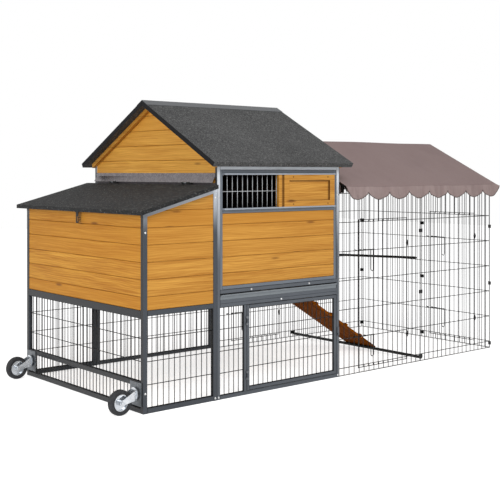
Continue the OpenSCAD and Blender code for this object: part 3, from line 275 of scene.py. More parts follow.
woodLook = {
    "rowHeight": 0.085,  # board pitch
    "firstSeam": 0.572,
    "seamShare": 0.035,  # of a board, stained at either edge
    "seamShade": 0.38,
    "pale": (231, 173, 80),
    "honey": (190, 128, 44),
    "deep": (165, 105, 33),
    "knot": (112, 64, 20),
    # dark of the seams, also the painted shade laid on where a finish asks for it
    "stainAndShade": (74, 40, 10),
}


# stained softwood: long streaks bent by slow noise, fine fibres, a few knots, each board its own shade
# with stain gathered along its seams, where asked painted shade or marks from a given function, and where
# asked painted shade on a face that looks back along one axis
def boardFinish(name, along, look=woodLook, tint=1.0, shadeAndMarks=None):
    link, where, close = newFinish(name)
    x, y, z = where.xyz()
    lengthwise, depth = (x, y) if along == "x" else (y, x)
    rows = (z - look["firstSeam"]) / look["rowHeight"]
    row = rows.floor()
    own = link.dice(link.vector(row, (depth * 6.0).floor(), 0.37))
    run = lengthwise + own * 17.0
    slow = link.noise(link.vector(run * 1.7, depth * 9.0, z * 11.0), 1.6, 2.0)
    streak = (z * 560.0 + slow * 26.0 + own * 40.0).sine() * 0.5 + 0.5
    broad = link.noise(link.vector(run * 1.1, depth * 14.0, z * 26.0 + own * 9.0), 2.2, 4.0, 0.55, 0.4)
    fibre = link.noise(link.vector(run * 9.0, depth * 300.0, z * 330.0), 1.0, 3.0, 0.65)
    tone = (streak * 0.12 + broad * 0.72 + fibre * 0.26 - 0.08).clamped()
    knotMap = link.cells(link.vector(run * 2.6, depth * 3.0, z * 11.8 + own * 5.0), 1.0)
    knot = 1.0 - knotMap.between(0.045, 0.13)
    base = tone.between(0.15, 0.85).mixed(paint(*look["deep"]), paint(*look["pale"]))
    shade = (own * 0.7).mixed(base, paint(*look["honey"]))
    colour = (knot * 0.75).mixed(shade, paint(*look["knot"]))
    edge = look["seamShare"]
    seam = 1.0 - (rows - row).between(0.0, edge) + (rows - row).between(1.0 - edge, 1.0)
    colour = (seam * look["seamShade"]).mixed(colour, paint(*look["stainAndShade"]))
    if tint != 1.0:
        colour = link.make("HueSaturation", {}, {"Value": tint, "Color": colour})
    # painted shade or other marks, laid on by the given function
    if shadeAndMarks:
        colour = shadeAndMarks(x, y, z).mixed(colour, paint(*look.get("marks", look["stainAndShade"])))
    # painted shade: a face that looks inwards is dark, as an inside in shadow
    if "inner" in look:
        shadedInside = (link.facing(look["innerAxis"]) * -1.0).between(0.5, 0.9)
        colour = shadedInside.mixed(colour, paint(*look["inner"]))
    height = tone * 0.5 + fibre * 0.5 - knot * 0.3
    return close(
        Base_Color=colour,
        Roughness=0.62 - tone * 0.12,
        Specular_IOR_Level=0.22,
        Normal=link.bump(height, 0.22, 0.0006),
    )


shutter = {
    "panelX": (-0.4131, -0.0991),
    "panelZ": (1.0281, 1.1411),
    "grooveX": (-0.4691, -0.4511),
    "sharp": 0.0006,  # over which a drawn line fades
    "shadeRight": 0.016,
    "shadeTop": 0.013,
    "shadeThin": 0.006,
    "screwInset": (0.03, 0.016),  # from the left and right edges of the panel
    "screwOut": 0.019,  # above and below the panel
    "screwEdges": (0.003, 0.006),  # full stain to the first distance, none past the second
}


# painted shade in the corners of the shutter: along the inner edges of its frame, deepest at the top and
# right, and in its groove; and dark marks round the four screws of the frame
def shutterShadeAndScrews(x, y, z):
    (left, right), (low, high) = shutter["panelX"], shutter["panelZ"]
    grooveLeft, grooveRight = shutter["grooveX"]
    sharp, thin = shutter["sharp"], shutter["shadeThin"]
    inside = x.between(left - sharp, left) * (1.0 - x.between(right, right + sharp))
    inside = inside * z.between(low - sharp, low) * (1.0 - z.between(high, high + sharp))
    # painted shade along the inner edges of the frame, deepest on the right and at the top
    corners = x.between(right - shutter["shadeRight"], right) * 0.85
    for edge in (
        z.between(high - shutter["shadeTop"], high) * 0.8,
        (1.0 - x.between(left, left + thin)) * 0.6,
        (1.0 - z.between(low, low + thin)) * 0.6,
    ):
        corners = x.math("MAXIMUM", corners, edge)
    groove = x.between(grooveLeft - sharp, grooveLeft)
    groove = groove * (1.0 - x.between(grooveRight, grooveRight + sharp)) * 0.6
    marks = x.math("MAXIMUM", inside * corners, groove)
    near, far = shutter["screwEdges"]
    for screwX in (left + shutter["screwInset"][0], right - shutter["screwInset"][1]):
        for screwZ in (low - shutter["screwOut"], high + shutter["screwOut"]):
            away = (x - screwX) * (x - screwX) + (z - screwZ) * (z - screwZ)
            marks = x.math("MAXIMUM", marks, (1.0 - away.between(near**2, far**2)) * 0.7)
    return marks


rampLook = {"pale": (162, 86, 0), "deep": (82, 40, 0), "slope": 31.4}


# ramp wood: the same streaks laid along the slope of the ramp
def rampFinish(name, look=rampLook):
    link, where, close = newFinish(name)
    turned = link.make("Mapping", {}, {0: where, 2: (0.0, math.radians(-look["slope"]), 0.0)})
    x, y, z = turned.xyz()
    slow = link.noise(link.vector(x * 1.6, y * 12.0, z * 9.0), 1.8, 2.0)
    streak = (y * 520.0 + slow * 30.0).sine() * 0.5 + 0.5
    broad = link.noise(link.vector(x * 1.2, y * 30.0, z * 20.0), 2.4, 4.0, 0.6, 0.4)
    fibre = link.noise(link.vector(x * 9.0, y * 320.0, z * 320.0), 1.0, 3.0, 0.6)
    tone = (streak * 0.25 + broad * 0.65 + fibre * 0.3 - 0.1).clamped()
    return close(
        Base_Color=tone.between(0.15, 0.85).mixed(paint(*look["deep"]), paint(*look["pale"])),
        Roughness=0.78 - tone * 0.12,
        Specular_IOR_Level=0.04,
        Normal=link.bump(tone * 0.5 + fibre * 0.5, 0.3, 0.0007),
    )


# powder coat: a fine orange peel, slow cloudiness, chalky dust that gathers towards the ground, and
# where asked painted light: a paler coat on the faces that look to the front, paler still towards the top
# to lift the shade under the eave
def coatFinish(name, colour, dust, rough=0.46, metal=0.0, peel=0.12, paintedLight=None, gloss=0.3):
    link, where, close = newFinish(name)
    z = where.xyz()[2]
    coat = paint(*colour)
    if paintedLight:
        # painted light: faces that look to the front take a paler coat, more so higher up
        pale = z.between(*paintedLight["heights"]).mixed(paint(*paintedLight["low"]), paint(*paintedLight["high"]))
        coat = (link.facing("y") * -1.0).between(0.35, 0.9).mixed(coat, pale)
    cloud = link.noise(where, 3.2, 4.0, 0.6)
    grit = link.noise(where, 420.0, 2.0)
    low = 1.0 - z.between(0.0, 0.35)
    soil = (cloud.between(0.45, 0.75) * 0.22 + low * cloud * 0.3).clamped()
    return close(
        Base_Color=soil.mixed(coat, paint(*dust)),
        Metallic=metal,
        Specular_IOR_Level=gloss,
        Roughness=rough + cloud * 0.16 - 0.08,
        Normal=link.bump(grit, peel, 0.0004),
    )


# mineral felt: stone granules of many greys pressed into bitumen, with cloudy weathering, a few pale
# stones where a cell draws a high number, and where asked a darker colour on the faces that look to the
# nest end
def feltFinish(name, dark, light, pale, endFaceColour=None):
    link, where, close = newFinish(name)
    granule = link.cellDraw(where, 420.0)
    patch = link.cellDraw(where, 170.0)
    cloud = link.noise(where, 2.6, 4.0, 0.6)
    fleck = (granule * 0.62 + patch * 0.24 + cloud * 0.4 - 0.12).clamped()
    height = link.cells(where, 420.0)
    colour = fleck.between(0.1, 0.95).mixed(paint(*dark), paint(*light))
    stone = link.cellDraw(where, 150.0, draw=1)
    colour = (stone.between(0.88, 0.98) * 0.5).mixed(colour, paint(*pale))
    if endFaceColour:
        colour = (link.facing("x") * -1.0).between(0.5, 0.9).mixed(colour, paint(*endFaceColour))
    return close(
        Base_Color=colour,
        Roughness=0.94 - fleck * 0.12,
        Specular_IOR_Level=0.25,
        Normal=link.bump(1.0 - height, 0.55, 0.0012),
    )


# zinc plate: flat crystals of slightly different brightness, dulled here and there
def zincFinish(name, dark, light, rough=0.34, crystal=0.5):
    link, where, close = newFinish(name)
    spangle = link.cellDraw(where, 90.0)
    dull = link.noise(where, 14.0, 4.0, 0.6)
    tone = (spangle * crystal + dull * (1.0 - crystal)).clamped()
    return close(
        Base_Color=tone.mixed(paint(*dark), paint(*light)),
        Metallic=0.82,
        Roughness=rough + dull * 0.24 - 0.1,
        Normal=link.bump(dull, 0.08, 0.0004),
    )


clothLook = {
    "face": (130, 110, 108),
    "shade": (121, 102, 100),
    "dusty": (138, 119, 116),
    # painted light: the paler colour of the valance; the seam colour is the painted shade along the fold
    "paintedLight": (152, 134, 131),
    "seam": (96, 82, 79),
    "fold": 0.689,  # from the ridge to the eave along the cloth
    "thread": 0.0011,
}


# canopy cloth: plain weave of two crossed waves on the flat cut, slow fading and a little dust, painted
# shade as a dark line along the fold at the eave, and below it painted light: a paler valance in upright
# streaks standing in for its folds
def clothFinish(name, look=clothLook):
    link, where, close = newFinish(name)
    flat = link.make("UVMap", {"uv_map": "cloth"}, {})
    u, v = flat.xyz()[:2]
    turns = 2 * math.pi / (look["thread"] * 2)
    weave = (u * turns).sine() * (v * turns).sine()
    slub = link.noise(link.vector(u * 900.0, v * 40.0, 0.0), 1.0, 2.0) * 0.5
    slub = slub + link.noise(link.vector(u * 40.0, v * 900.0, 3.0), 1.0, 2.0) * 0.5
    fade = link.noise(flat, 3.4, 4.0, 0.55)
    tone = (fade.between(0.3, 0.75) * 0.6 + slub * 0.4).clamped()
    colour = (tone * 0.55).mixed(paint(*look["face"]), paint(*look["dusty"]))
    colour = (fade.between(0.25, 0.5) * -0.35 + 0.35).mixed(colour, paint(*look["shade"]))
    # painted light: below the fold the valance is paler, in upright streaks standing in for its lit folds
    down = v.math("ABSOLUTE", v) - look["fold"]
    streaks = link.noise(link.vector(u * 24.0, v * 5.0, 7.0), 1.0, 4.0, 0.6).between(0.3, 0.72)
    valanceLight = down.between(0.0, 0.006) * (0.25 + streaks * 0.6)
    colour = valanceLight.mixed(colour, paint(*look["paintedLight"]))
    # painted shade: a dark line just under the fold, where the crease is shaded
    foldShade = down.math("ABSOLUTE", down - 0.004).between(0.0, 0.0035)
    colour = ((1.0 - foldShade) * 0.45).mixed(colour, paint(*look["seam"]))
    return close(
        Base_Color=colour,
        Roughness=0.86 - slub * 0.1,
        Normal=link.bump(weave * 0.5 + slub * 0.6, 0.35, 0.0006),
    )


# tyre rubber: matt, scuffed paler by slow noise
def rubberFinish(name):
    link, where, close = newFinish(name)
    scuff = link.noise(where, 60.0, 5.0, 0.65)
    return close(
        Base_Color=scuff.between(0.4, 0.8).mixed(paint(30, 31, 34), paint(58, 60, 63)),
        Roughness=0.78 + scuff * 0.14 - 0.07,
        Normal=link.bump(scuff, 0.2, 0.0005),
    )


# painted light: the paler coats that the frame and nest frame take on their front faces, low and high
frameFrontLight = {"low": (86, 91, 98), "high": (228, 233, 240), "heights": (0.68, 1.27)}
nestFrontLight = {"low": (64, 69, 76), "high": (206, 212, 220), "heights": (0.86, 1.1)}
frameCoat = {"colour": (33, 34, 37), "dust": (52, 54, 57), "rough": 0.4}
framePaint = coatFinish("frame_coat", **frameCoat, paintedLight=frameFrontLight)
nestPaint = coatFinish("nest_frame_coat", **frameCoat, paintedLight=nestFrontLight)
panelPaint = coatFinish("panel_coat", (102, 109, 118), (134, 139, 144), rough=0.38, gloss=0.4)
meshPaint = coatFinish("mesh_coat", (13, 13, 15), (34, 35, 36), rough=0.5)
barPaint = coatFinish("pale_bar_coat", (178, 181, 184), (204, 204, 202), rough=0.42)
trackPaint = coatFinish("track_coat", (150, 157, 166), (182, 187, 192), rough=0.36)
blackPaint = coatFinish("run_wire_coat", (8, 8, 9), (26, 26, 26), rough=0.5)
wallAlongX = boardFinish("wall_boards_lengthwise", "x")
wallAlongY = boardFinish("wall_boards_crosswise", "y")
# painted shade: the inside face of the back wall is dark, as the shaded inside of the house
backLook = dict(woodLook, inner=(72, 60, 54), innerAxis="y")
backWood = boardFinish("back_wall_boards", "x", backLook)
floorLook = dict(woodLook, pale=(226, 184, 122), honey=(206, 160, 96), deep=(170, 122, 66))
floorWood = boardFinish("floor_boards_plain", "y", floorLook)
# painted light: the gable boards are a paler copy of the wood, lifting the shade under the roof overhang
litGableLook = dict(woodLook, pale=(250, 192, 86), honey=(220, 154, 58), deep=(194, 128, 42))
# painted shade on the inside face of the right wall as well
doorwayLook = dict(litGableLook, inner=backLook["inner"], innerAxis="x")
gableWood = boardFinish("gable_boards", "y", doorwayLook)
footLook = dict(litGableLook, marks=(92, 87, 90), sealedBelow=1.131)


# sealant along the foot of the wall over the lid: all of it under one height
def footSeal(x, y, z):
    return 1.0 - z.between(footLook["sealedBelow"] - 0.0005, footLook["sealedBelow"])


sealedWood = boardFinish("sealed_gable_boards", "y", footLook, shadeAndMarks=footSeal)
endLook = dict(woodLook, pale=(231, 170, 66), honey=(190, 124, 30), deep=(165, 100, 20))
endWood = boardFinish("nest_end_wood", "y", endLook)
shutterLook = dict(woodLook, firstSeam=0.3, rowHeight=3.0)
shutterWood = boardFinish("shutter_wood", "x", shutterLook, 0.94, shutterShadeAndScrews)
rampWood = rampFinish("ramp_wood")
roofFelt = feltFinish("roof_felt", (32, 33, 34), (98, 98, 98), (124, 124, 122), endFaceColour=(24, 24, 26))
lidFelt = feltFinish("lid_felt", (17, 18, 19), (54, 54, 54), (112, 112, 110))
capMetal = coatFinish("ridge_cap_coat", (84, 86, 89), (104, 106, 108), rough=0.45, metal=0.2)
flashingMetal = zincFinish("flashing_metal", (94, 89, 92), (136, 130, 132), 0.24)
zincPlate = zincFinish("zinc_plate", (134, 140, 148), (246, 250, 254), 0.2, crystal=0.12)
plateZinc = zincFinish("plate_zinc", (84, 88, 92), (122, 126, 130), 0.4)
trayZinc = coatFinish("tray_coat", (120, 126, 131), (150, 154, 157), rough=0.36, metal=0.35)
darkZinc = zincFinish("dark_zinc", (92, 95, 99), (128, 131, 135), 0.4)
boltZinc = zincFinish("bolt_zinc", (176, 178, 181), (212, 212, 210), 0.3)
tyreRubber = rubberFinish("tyre_rubber")
canopyCloth = clothFinish("canopy_cloth")
hemCloth = coatFinish("hem_binding", (88, 76, 73), (112, 99, 95), rough=0.85, peel=0.5)

finishes = [
    (nestPaint, ["nest_frame"]),
    (framePaint, ["house_front_frame", "house_back_frame", "cross_rails"]),
    (panelPaint, ["front_panel_frame"]),
    (wallAlongX, ["nest_side_boards", "front_boards", "nest_divider"]),
    (backWood, ["back_wall"]),
    (endWood, ["nest_end_boards"]),
    (wallAlongY, ["roof_rafters"]),
    (sealedWood, ["left_wall"]),
    (gableWood, ["right_wall"]),
    (floorWood, ["floor_boards", "tray_runners", "roost_bars"]),
    (shutterWood, ["window_shutter"]),
    (trackPaint, ["window_tracks"]),
    (roofFelt, ["roof_front", "roof_back"]),
    (lidFelt, ["nest_lid"]),
    (capMetal, ["ridge_cap"]),
    (flashingMetal, ["lid_flashing"]),
    (darkZinc, ["fixed_hardware"]),
    (framePaint, ["run_door_frame", "run_door_button"]),
    (blackPaint, ["lid_hasp"]),
    (plateZinc, ["caster_plates"]),
    (zincPlate, ["front_caster_fork", "back_caster_fork", "front_wheel_hub", "back_wheel_hub"]),
    (trayZinc, ["droppings_tray"]),
    (rampWood, ["ramp_board", "ramp_cleats"]),
    (boltZinc, ["frame_bolts"]),
    (blackPaint, ["panel_clips", "pen_bars", "canopy_frame"]),
    (blackPaint, ["front_bolt_upper", "front_bolt_lower", "back_bolt_upper", "back_bolt_lower"]),
    (blackPaint, ["end_bolt_upper", "end_bolt_lower"]),
]
for material, names in finishes:
    for name in names:
        mesh = nodes[name].data
        mesh.materials.clear()
        mesh.materials.append(material)
print("finishes on", sum(len(names) for material, names in finishes), "nodes")


# welded nets


# lines of a mesh between two ends, near the pitch
def meshLines(low, high, pitch):
    return np.linspace(low, high, max(1, round((high - low) / pitch)) + 1)


# a flat net in x and z about y = 0: uprights on one layer, cross wires on the other, a wire round it
def netWires(xs, zs, wire, rim, hole=None, bold=0.56, sideBold=0.56):
    radius, layer = wire * bold, wire * 0.06
    x0, x1, z0, z1 = xs[0] + rim / 2, xs[-1] - rim / 2, zs[0] + rim / 2, zs[-1] - rim / 2
    uprights = [(x, z0, z1) for x in xs[1:-1]]
    crosses = [(z, x0, x1) for z in zs[1:-1]]
    if hole:
        left, right, low, high = xs[hole[0]], xs[hole[1]], zs[hole[2]], zs[hole[3]]
        uprights = [(x, a, b) for x, a, b in uprights if not left < x < right] + [
            (x, a, b) for x in xs[1:-1] if left < x < right for a, b in ((z0, low), (high, z1))
        ]
        crosses = [(z, a, b) for z, a, b in crosses if not low < z < high] + [
            (z, a, b) for z in zs[1:-1] if low < z < high for a, b in ((x0, left), (right, x1))
        ]
    starts = [(x, -layer, a) for x, a, b in uprights] + [(a, layer, z) for z, a, b in crosses]
    ends = [(x, -layer, b) for x, a, b in uprights] + [(b, layer, z) for z, a, b in crosses]
    radii = [radius] * len(starts)
    starts += [(x0, 0, zs[0]), (x1, 0, zs[0]), (xs[0], 0, z0), (xs[0], 0, z1)]
    ends += [(x0, 0, zs[-1]), (x1, 0, zs[-1]), (xs[-1], 0, z0), (xs[-1], 0, z1)]
    radii += [wire * sideBold] * 2 + [radius] * 2
    return straightWires(starts, ends, radii)


# a net drawn in x and z, stood on a line in plan: local x runs along the line and local y square to it
def standing(part, origin, turn=0.0, flip=1.0):
    points, faces = part
    c, s = math.cos(math.radians(turn)), math.sin(math.radians(turn))
    x, y, z = points[:, 0], points[:, 1] * flip, points[:, 2]
    placed = np.stack([x * c - y * s, x * s + y * c, z], 1) + np.asarray(origin, float)
    if flip < 0:
        faces = [face[::-1] for face in faces]
    return placed, faces


coopNet = {
    "wire": 3.0,
    "pitch": 33.0,
    "fields": 4,
    "bold": 0.72,
    "nestX": (25.3, 434.7),
    "nestEndY": (25.3, 1194.7),
    "nestZ": (25.3, 479.7),
    "endLowZ": (25.3, 129.7),  # under the middle rail of the nest end
    "endHighZ": (155.3, 466.7),
    "nestDepths": (12.5, 1207.5),
    "houseX": (480.6, 1336.7),
    "stripEnd": 641.7,  # where the fixed net beside the door ends
    "houseZ": (20.3, 479.7),
    "houseDepths": (10.0, 1210.0),
    "doorX": (680.8, 1316.2),
    "doorZ": (40.8, 459.2),
    "doorDepth": 9.0,
}
windowNet = {
    "wire": 4.0,
    "pitch": 35.0,
    "bold": 0.45,
    "sideBold": 0.5,
    "x": (499.1, 883.1),
    "z": (988.3, 1180.6),
    "depth": 11.0,
}


# a net of the coop between two ends, its uprights near the pitch
def coopField(ends, zs):
    lines = meshLines(*ends, coopNet["pitch"])
    return netWires(lines, zs, coopNet["wire"], coopNet["wire"], bold=coopNet["bold"])


nestRows, houseRows, doorRows = [
    np.linspace(*coopNet[key], coopNet["fields"] + 1) for key in ("nestZ", "houseZ", "doorZ")
]
endLow, endHigh = coopNet["endHighZ"]
upperRows = np.array([endLow, nestRows[2], nestRows[3], endHigh])
nestFront, nestBack = coopNet["nestDepths"]
houseFront, houseBack = coopNet["houseDepths"]
stripX = (coopNet["houseX"][0], coopNet["stripEnd"])

nestNet = [
    standing(coopField(coopNet["nestX"], nestRows), (0, nestFront, 0)),
    standing(coopField(coopNet["nestX"], nestRows), (0, nestBack, 0), flip=-1),
    standing(coopField(coopNet["nestEndY"], np.array(coopNet["endLowZ"])), (nestFront, 0, 0), 90),
    standing(coopField(coopNet["nestEndY"], upperRows), (nestFront, 0, 0), 90),
]
houseNet = [
    standing(coopField(stripX, houseRows), (0, houseFront, 0)),
    standing(coopField(coopNet["houseX"], houseRows), (0, houseBack, 0), flip=-1),
]
doorNet = [standing(coopField(coopNet["doorX"], doorRows), (0, coopNet["doorDepth"], 0))]
windowColumns = meshLines(*windowNet["x"], windowNet["pitch"])
windowRows = np.linspace(*windowNet["z"], 3)
windowWires = netWires(
    windowColumns,
    windowRows,
    windowNet["wire"],
    windowNet["wire"],
    bold=windowNet["bold"],
    sideBold=windowNet["sideBold"],
)
barNet = [standing(windowWires, (0, windowNet["depth"], 0))]
for name, parts, material, body, slotName in [
    ("nest_meshes", nestNet, meshPaint, "coop", "mesh_grey"),
    ("house_meshes", houseNet, meshPaint, "coop", "mesh_grey"),
    ("run_door_mesh", doorNet, meshPaint, "run_door", "mesh_grey"),
    ("window_bars", barNet, barPaint, "coop", "bar_paint"),
]:
    points, faces = joined(parts)
    addPiece("wires_" + name, inFrame(points), faces, material, body, [name])
print("coop nets made")


# run panels, doors and their fittings

run = {
    "x": 1357.0,
    "length": 1450.0,
    "width": 1183.0,
    "height": 1066.0,
    "wire": 4.0,
    "rim": 6.0,
    "firstRow": 45.0,
    "doorY": -3.5,  # middle of the door net, outside the panel
    "pinY": -5.75,
    "boltY": -11.5,
    "boltRows": (727.0, 218.5),
    "hingeShares": (0.82, 0.18),
    "strap": 2.1,
    "ring": 3.95,  # middle of a keeper's bend round the bolt
    "rod": 2.5,
    "sideFields": 17,
    "endFields": 14,
    "rows": 6,
    "fit": 0.3,
    "doorOver": 15.0,  # how far a door overlaps its hole
    "doorHingeOver": 6.0,
    "sideHole": (4, 14, 1, 6),  # wires left and right, rows below and above
    "endHole": (3, 12, 1, 6),
    "keeperFoot": 1.0,
    "keeperWidth": 9.0,
    "guideFoot": -4.5,
    "guideWidth": 8.0,
    "guidePlaces": (10.0, 46.0),
    "pinFoot": 1.5,
    "pinHalf": 16.0,
    "pinBend": 3.0,
    "eyeOut": 6.0,
    "eyeTail": 5.0,
    "eyeWidth": 14.0,
    "eyeTurns": 0.81,
    "sideBold": 0.4,
}
halfRun = run["length"] / 2
sideStep = (halfRun - 2 * run["fit"]) / run["sideFields"]
sideLines = run["fit"] + np.arange(run["sideFields"] + 1) * sideStep
plainLines = halfRun + sideLines * ((halfRun - run["wire"] - 2 * run["fit"]) / halfRun)
endStep = (run["width"] / 2 - run["fit"]) / run["endFields"]
endLines = np.arange(run["endFields"] + 1) * endStep
rowStep = (run["height"] - run["rim"] / 2 - run["firstRow"]) / run["rows"]
runRows = np.concatenate(
    [[0.0], run["firstRow"] + np.arange(run["rows"]) * rowStep, [run["height"]]]
)
sideLeft, sideRight, lowRow, highRow = run["sideHole"]
endLeft, endRight = run["endHole"][:2]
doorLow, doorHigh = runRows[lowRow] - run["doorOver"], runRows[highRow] + run["doorOver"]
doorLines = np.concatenate([[doorLow], runRows[lowRow + 1 : highRow], [doorHigh]])
sideDoor = (sideLines[sideLeft] - run["doorOver"], sideLines[sideRight] - run["doorHingeOver"])
endDoor = (endLines[endRight] + run["doorOver"], endLines[endLeft] + run["doorHingeOver"])


# pieces drawn in x and z with the outside at -y are stood on the front, back and end lines of the run
def frontSide(part):
    return standing(part, (run["x"], 0, 0))


def backSide(part):
    return standing(part, (run["x"], run["width"], 0), flip=-1)


def endSide(part):
    return standing(part, (run["x"] + run["length"], 0, 0), 90)


# a keeper: a band that leaves the net, bends half round the bolt and comes back
def boltKeeper(x, z, foot, width):
    bend = np.linspace(0, np.pi, 13)
    y = np.concatenate([[foot], run["boltY"] - run["ring"] * np.sin(bend), [foot]])
    up = np.concatenate([[-run["ring"]], -run["ring"] * np.cos(bend), [run["ring"]]])
    path = np.stack([np.full(len(y), x), y, z + up], 1)
    return bentBand(path, (1, 0, 0), width, run["strap"])


# a hinge pin: a rod that leaves the panel, turns up for its length and returns
def hingePin(x, z):
    y, foot = run["pinY"], run["pinFoot"]
    low, high = z - run["pinHalf"], z + run["pinHalf"]
    corners = [(x, foot, low), (x, y, low), (x, y, high), (x, foot, high)]
    return bentWire(roundedPath(corners, run["pinBend"]), (1, 0, 0), run["rod"])


# a hinge eye: a band from the edge of the door, wrapped most of the way round the pin
def hingeEye(edge, way, z):
    centre = edge + way * run["eyeOut"]
    wrap = np.linspace(0, run["eyeTurns"] * 2 * np.pi, 25)
    x = np.concatenate([[edge - way * run["eyeTail"]], centre + way * run["ring"] * np.sin(wrap)])
    y = np.concatenate([[run["pinY"] + run["ring"]], run["pinY"] + run["ring"] * np.cos(wrap)])
    path = np.stack([x, y, np.full(len(x), z)], 1)
    return bentBand(path, (0, 0, 1), run["eyeWidth"], run["strap"])


# the hinges stand at shares of the door's height
def hingeHeights():
    return [doorLow + (doorHigh - doorLow) * share for share in run["hingeShares"]]


# what a panel carries for its door: a keeper for each bolt and a pin for each hinge
def doorFittings(keeperX, pinX):
    keepers = [boltKeeper(keeperX, z, run["keeperFoot"], run["keeperWidth"]) for z in run["boltRows"]]
    return keepers + [hingePin(pinX, z) for z in hingeHeights()]


# a door from its bolt edge to its hinge edge: a net, two guides for each bolt and an eye for each hinge
def runDoor(door):
    way = 1.0 if door[1] > door[0] else -1.0
    columns = meshLines(min(door), max(door), halfRun / run["sideFields"])
    points, faces = netWires(columns, doorLines, run["wire"], run["rim"])
    parts = [(points + [0, run["doorY"], 0], faces)]
    for z in run["boltRows"]:
        for place in run["guidePlaces"]:
            middle = door[0] + way * (place + run["guideWidth"] / 2)
            parts.append(boltKeeper(middle, z, run["guideFoot"], run["guideWidth"]))
    return parts + [hingeEye(door[1], way, z) for z in hingeHeights()]


# a net of the run, moved in by half a wire so that its outside lies on the line
def runNet(lines, hole=None):
    points, faces = netWires(lines, runRows, run["wire"], run["rim"], hole, sideBold=run["sideBold"])
    return points + [0, run["wire"] / 2, 0], faces


sidePanel = [runNet(sideLines, run["sideHole"])]
sidePanel += doorFittings(sideLines[sideLeft - 1], sideLines[sideRight])
endPanel = [runNet(endLines, run["endHole"])]
endPanel += doorFittings(endLines[endRight + 1], endLines[endLeft])
shiftedEnd = endLines + run["width"] / 2
plainPanels = [frontSide(runNet(plainLines)), backSide(runNet(plainLines)), endSide(runNet(shiftedEnd))]
for name, parts, body in [
    ("pen_front_door_panel", [frontSide(p) for p in sidePanel], "coop"),
    ("pen_back_door_panel", [backSide(p) for p in sidePanel], "coop"),
    ("pen_end_door_panel", [endSide(p) for p in endPanel], "coop"),
    ("pen_plain_panels", plainPanels, "coop"),
    ("pen_front_door", [frontSide(p) for p in runDoor(sideDoor)], "front_gate"),
    ("pen_back_door", [backSide(p) for p in runDoor(sideDoor)], "back_gate"),
    ("pen_end_door", [endSide(p) for p in runDoor(endDoor)], "end_gate"),
]:
    points, faces = joined(parts)
    addPiece("wires_" + name, inFrame(points), faces, blackPaint, body, [name])
print("run panels and doors made")


# tyres

tyre = {
    "x": -95.0,
    "z": 62.5,
    "radius": 62.5,
    "width": 36.0,
    "inner": 41.55,
    "round": 10.0,
    "groove": 1.6,  # depth of the tread
    "ribPitch": 5.0,
    "grooveShare": 0.34,
    "segments": 96,
}


# tyre skin: a rounded section with shallow grooves round the tread, turned about the axle
def tyreSkin(y):
    corner = np.linspace(0, np.pi / 2, 9)
    half, r, full = tyre["width"] / 2, tyre["round"], tyre["radius"]
    shoulderY = half - r + r * np.cos(corner)
    shoulderR = full - r + r * np.sin(corner)
    treadY = np.linspace(half - r, -(half - r), 41)[1:-1]
    grooved = np.abs(np.sin(treadY * np.pi / tyre["ribPitch"])) < tyre["grooveShare"]
    treadR = full - tyre["groove"] * grooved
    section = np.concatenate(
        [
            [[half, tyre["inner"]]],
            np.stack([shoulderY, shoulderR], 1),
            np.stack([treadY, treadR], 1),
            np.stack([-shoulderY[::-1], shoulderR[::-1]], 1),
            [[-half, tyre["inner"]]],
        ]
    )
    turn = np.linspace(0, 2 * np.pi, tyre["segments"], endpoint=False)
    points = np.stack(
        [
            tyre["x"] + section[None, :, 1] * np.cos(turn)[:, None],
            np.broadcast_to(y + section[None, :, 0], (len(turn), len(section))),
            tyre["z"] + section[None, :, 1] * np.sin(turn)[:, None],
        ],
        -1,
    ).reshape(-1, 3)
    count = len(section)
    ring = np.arange(len(turn))[:, None] * count
    after = (np.arange(len(turn))[:, None] + 1) % len(turn) * count
    side = np.arange(count)[None, :]
    nextSide = (side + 1) % count
    quads = np.stack([ring + side, ring + nextSide, after + nextSide, after + side], -1)
    return points, quads.reshape(-1, 4).tolist()


for name, y, body in [("front_tyre", 62.0, "front_wheel"), ("back_tyre", 1158.0, "back_wheel")]:
    points, faces = tyreSkin(y)
    addPiece("treaded_" + name, inFrame(points), faces, tyreRubber, body, [name])
print("tyres made")


# canopy cloth

canopy = {
    "x": 1376.0,
    "middle": 591.5,
    "half": 628.5,
    "eave": 1110.0,
    "rise": 284.0,
    "endOver": 15.0,
    "ridgeOver": 93.0,
    "valance": 83.0,
    "notch": 40.0,
    "scallops": 8,
    "scallopRound": 0.6,
    "endRound": 0.3,
    "hemOut": 28.0,  # how far the hem swings out past the end of the eave
    "sag": 10.0,
    "eaveSag": 0.25,  # share of the sag that reaches the eave and the ridge
    "drag": 1.3,
    "pleat": (8.0, 8.0, 2.6, 1.2),  # set off, one wave a scallop, two finer waves
    "seat": 1.2,  # the thin cloth lies this much lower, on the rafters
    "thick": 0.0012,
    "columns": 400,
    "valanceRows": 14,
    "slopeRows": 34,
    "easeSteps": 2,
    "ease": 0.25,
    "bindingRadius": 0.0022,
    "bindingLift": 0.001,
}


# depth of the valance: full round arches between notches, rounded off at both ends of the canopy
def hemDepth(u):
    n = canopy["scallops"]
    f = u * n - np.floor(np.minimum(u * n, n - 1e-9))
    arch = np.sin(np.pi * np.clip(f, 0, 1)) ** canopy["scallopRound"]
    least = canopy["endRound"]
    d = np.minimum(np.minimum(u, 1 - u) * n / least, 1)
    ends = np.sqrt(np.maximum(0, 1 - (1 - d) ** 2))
    return (canopy["notch"] + (canopy["valance"] - canopy["notch"]) * arch) * (least + (1 - least) * ends)


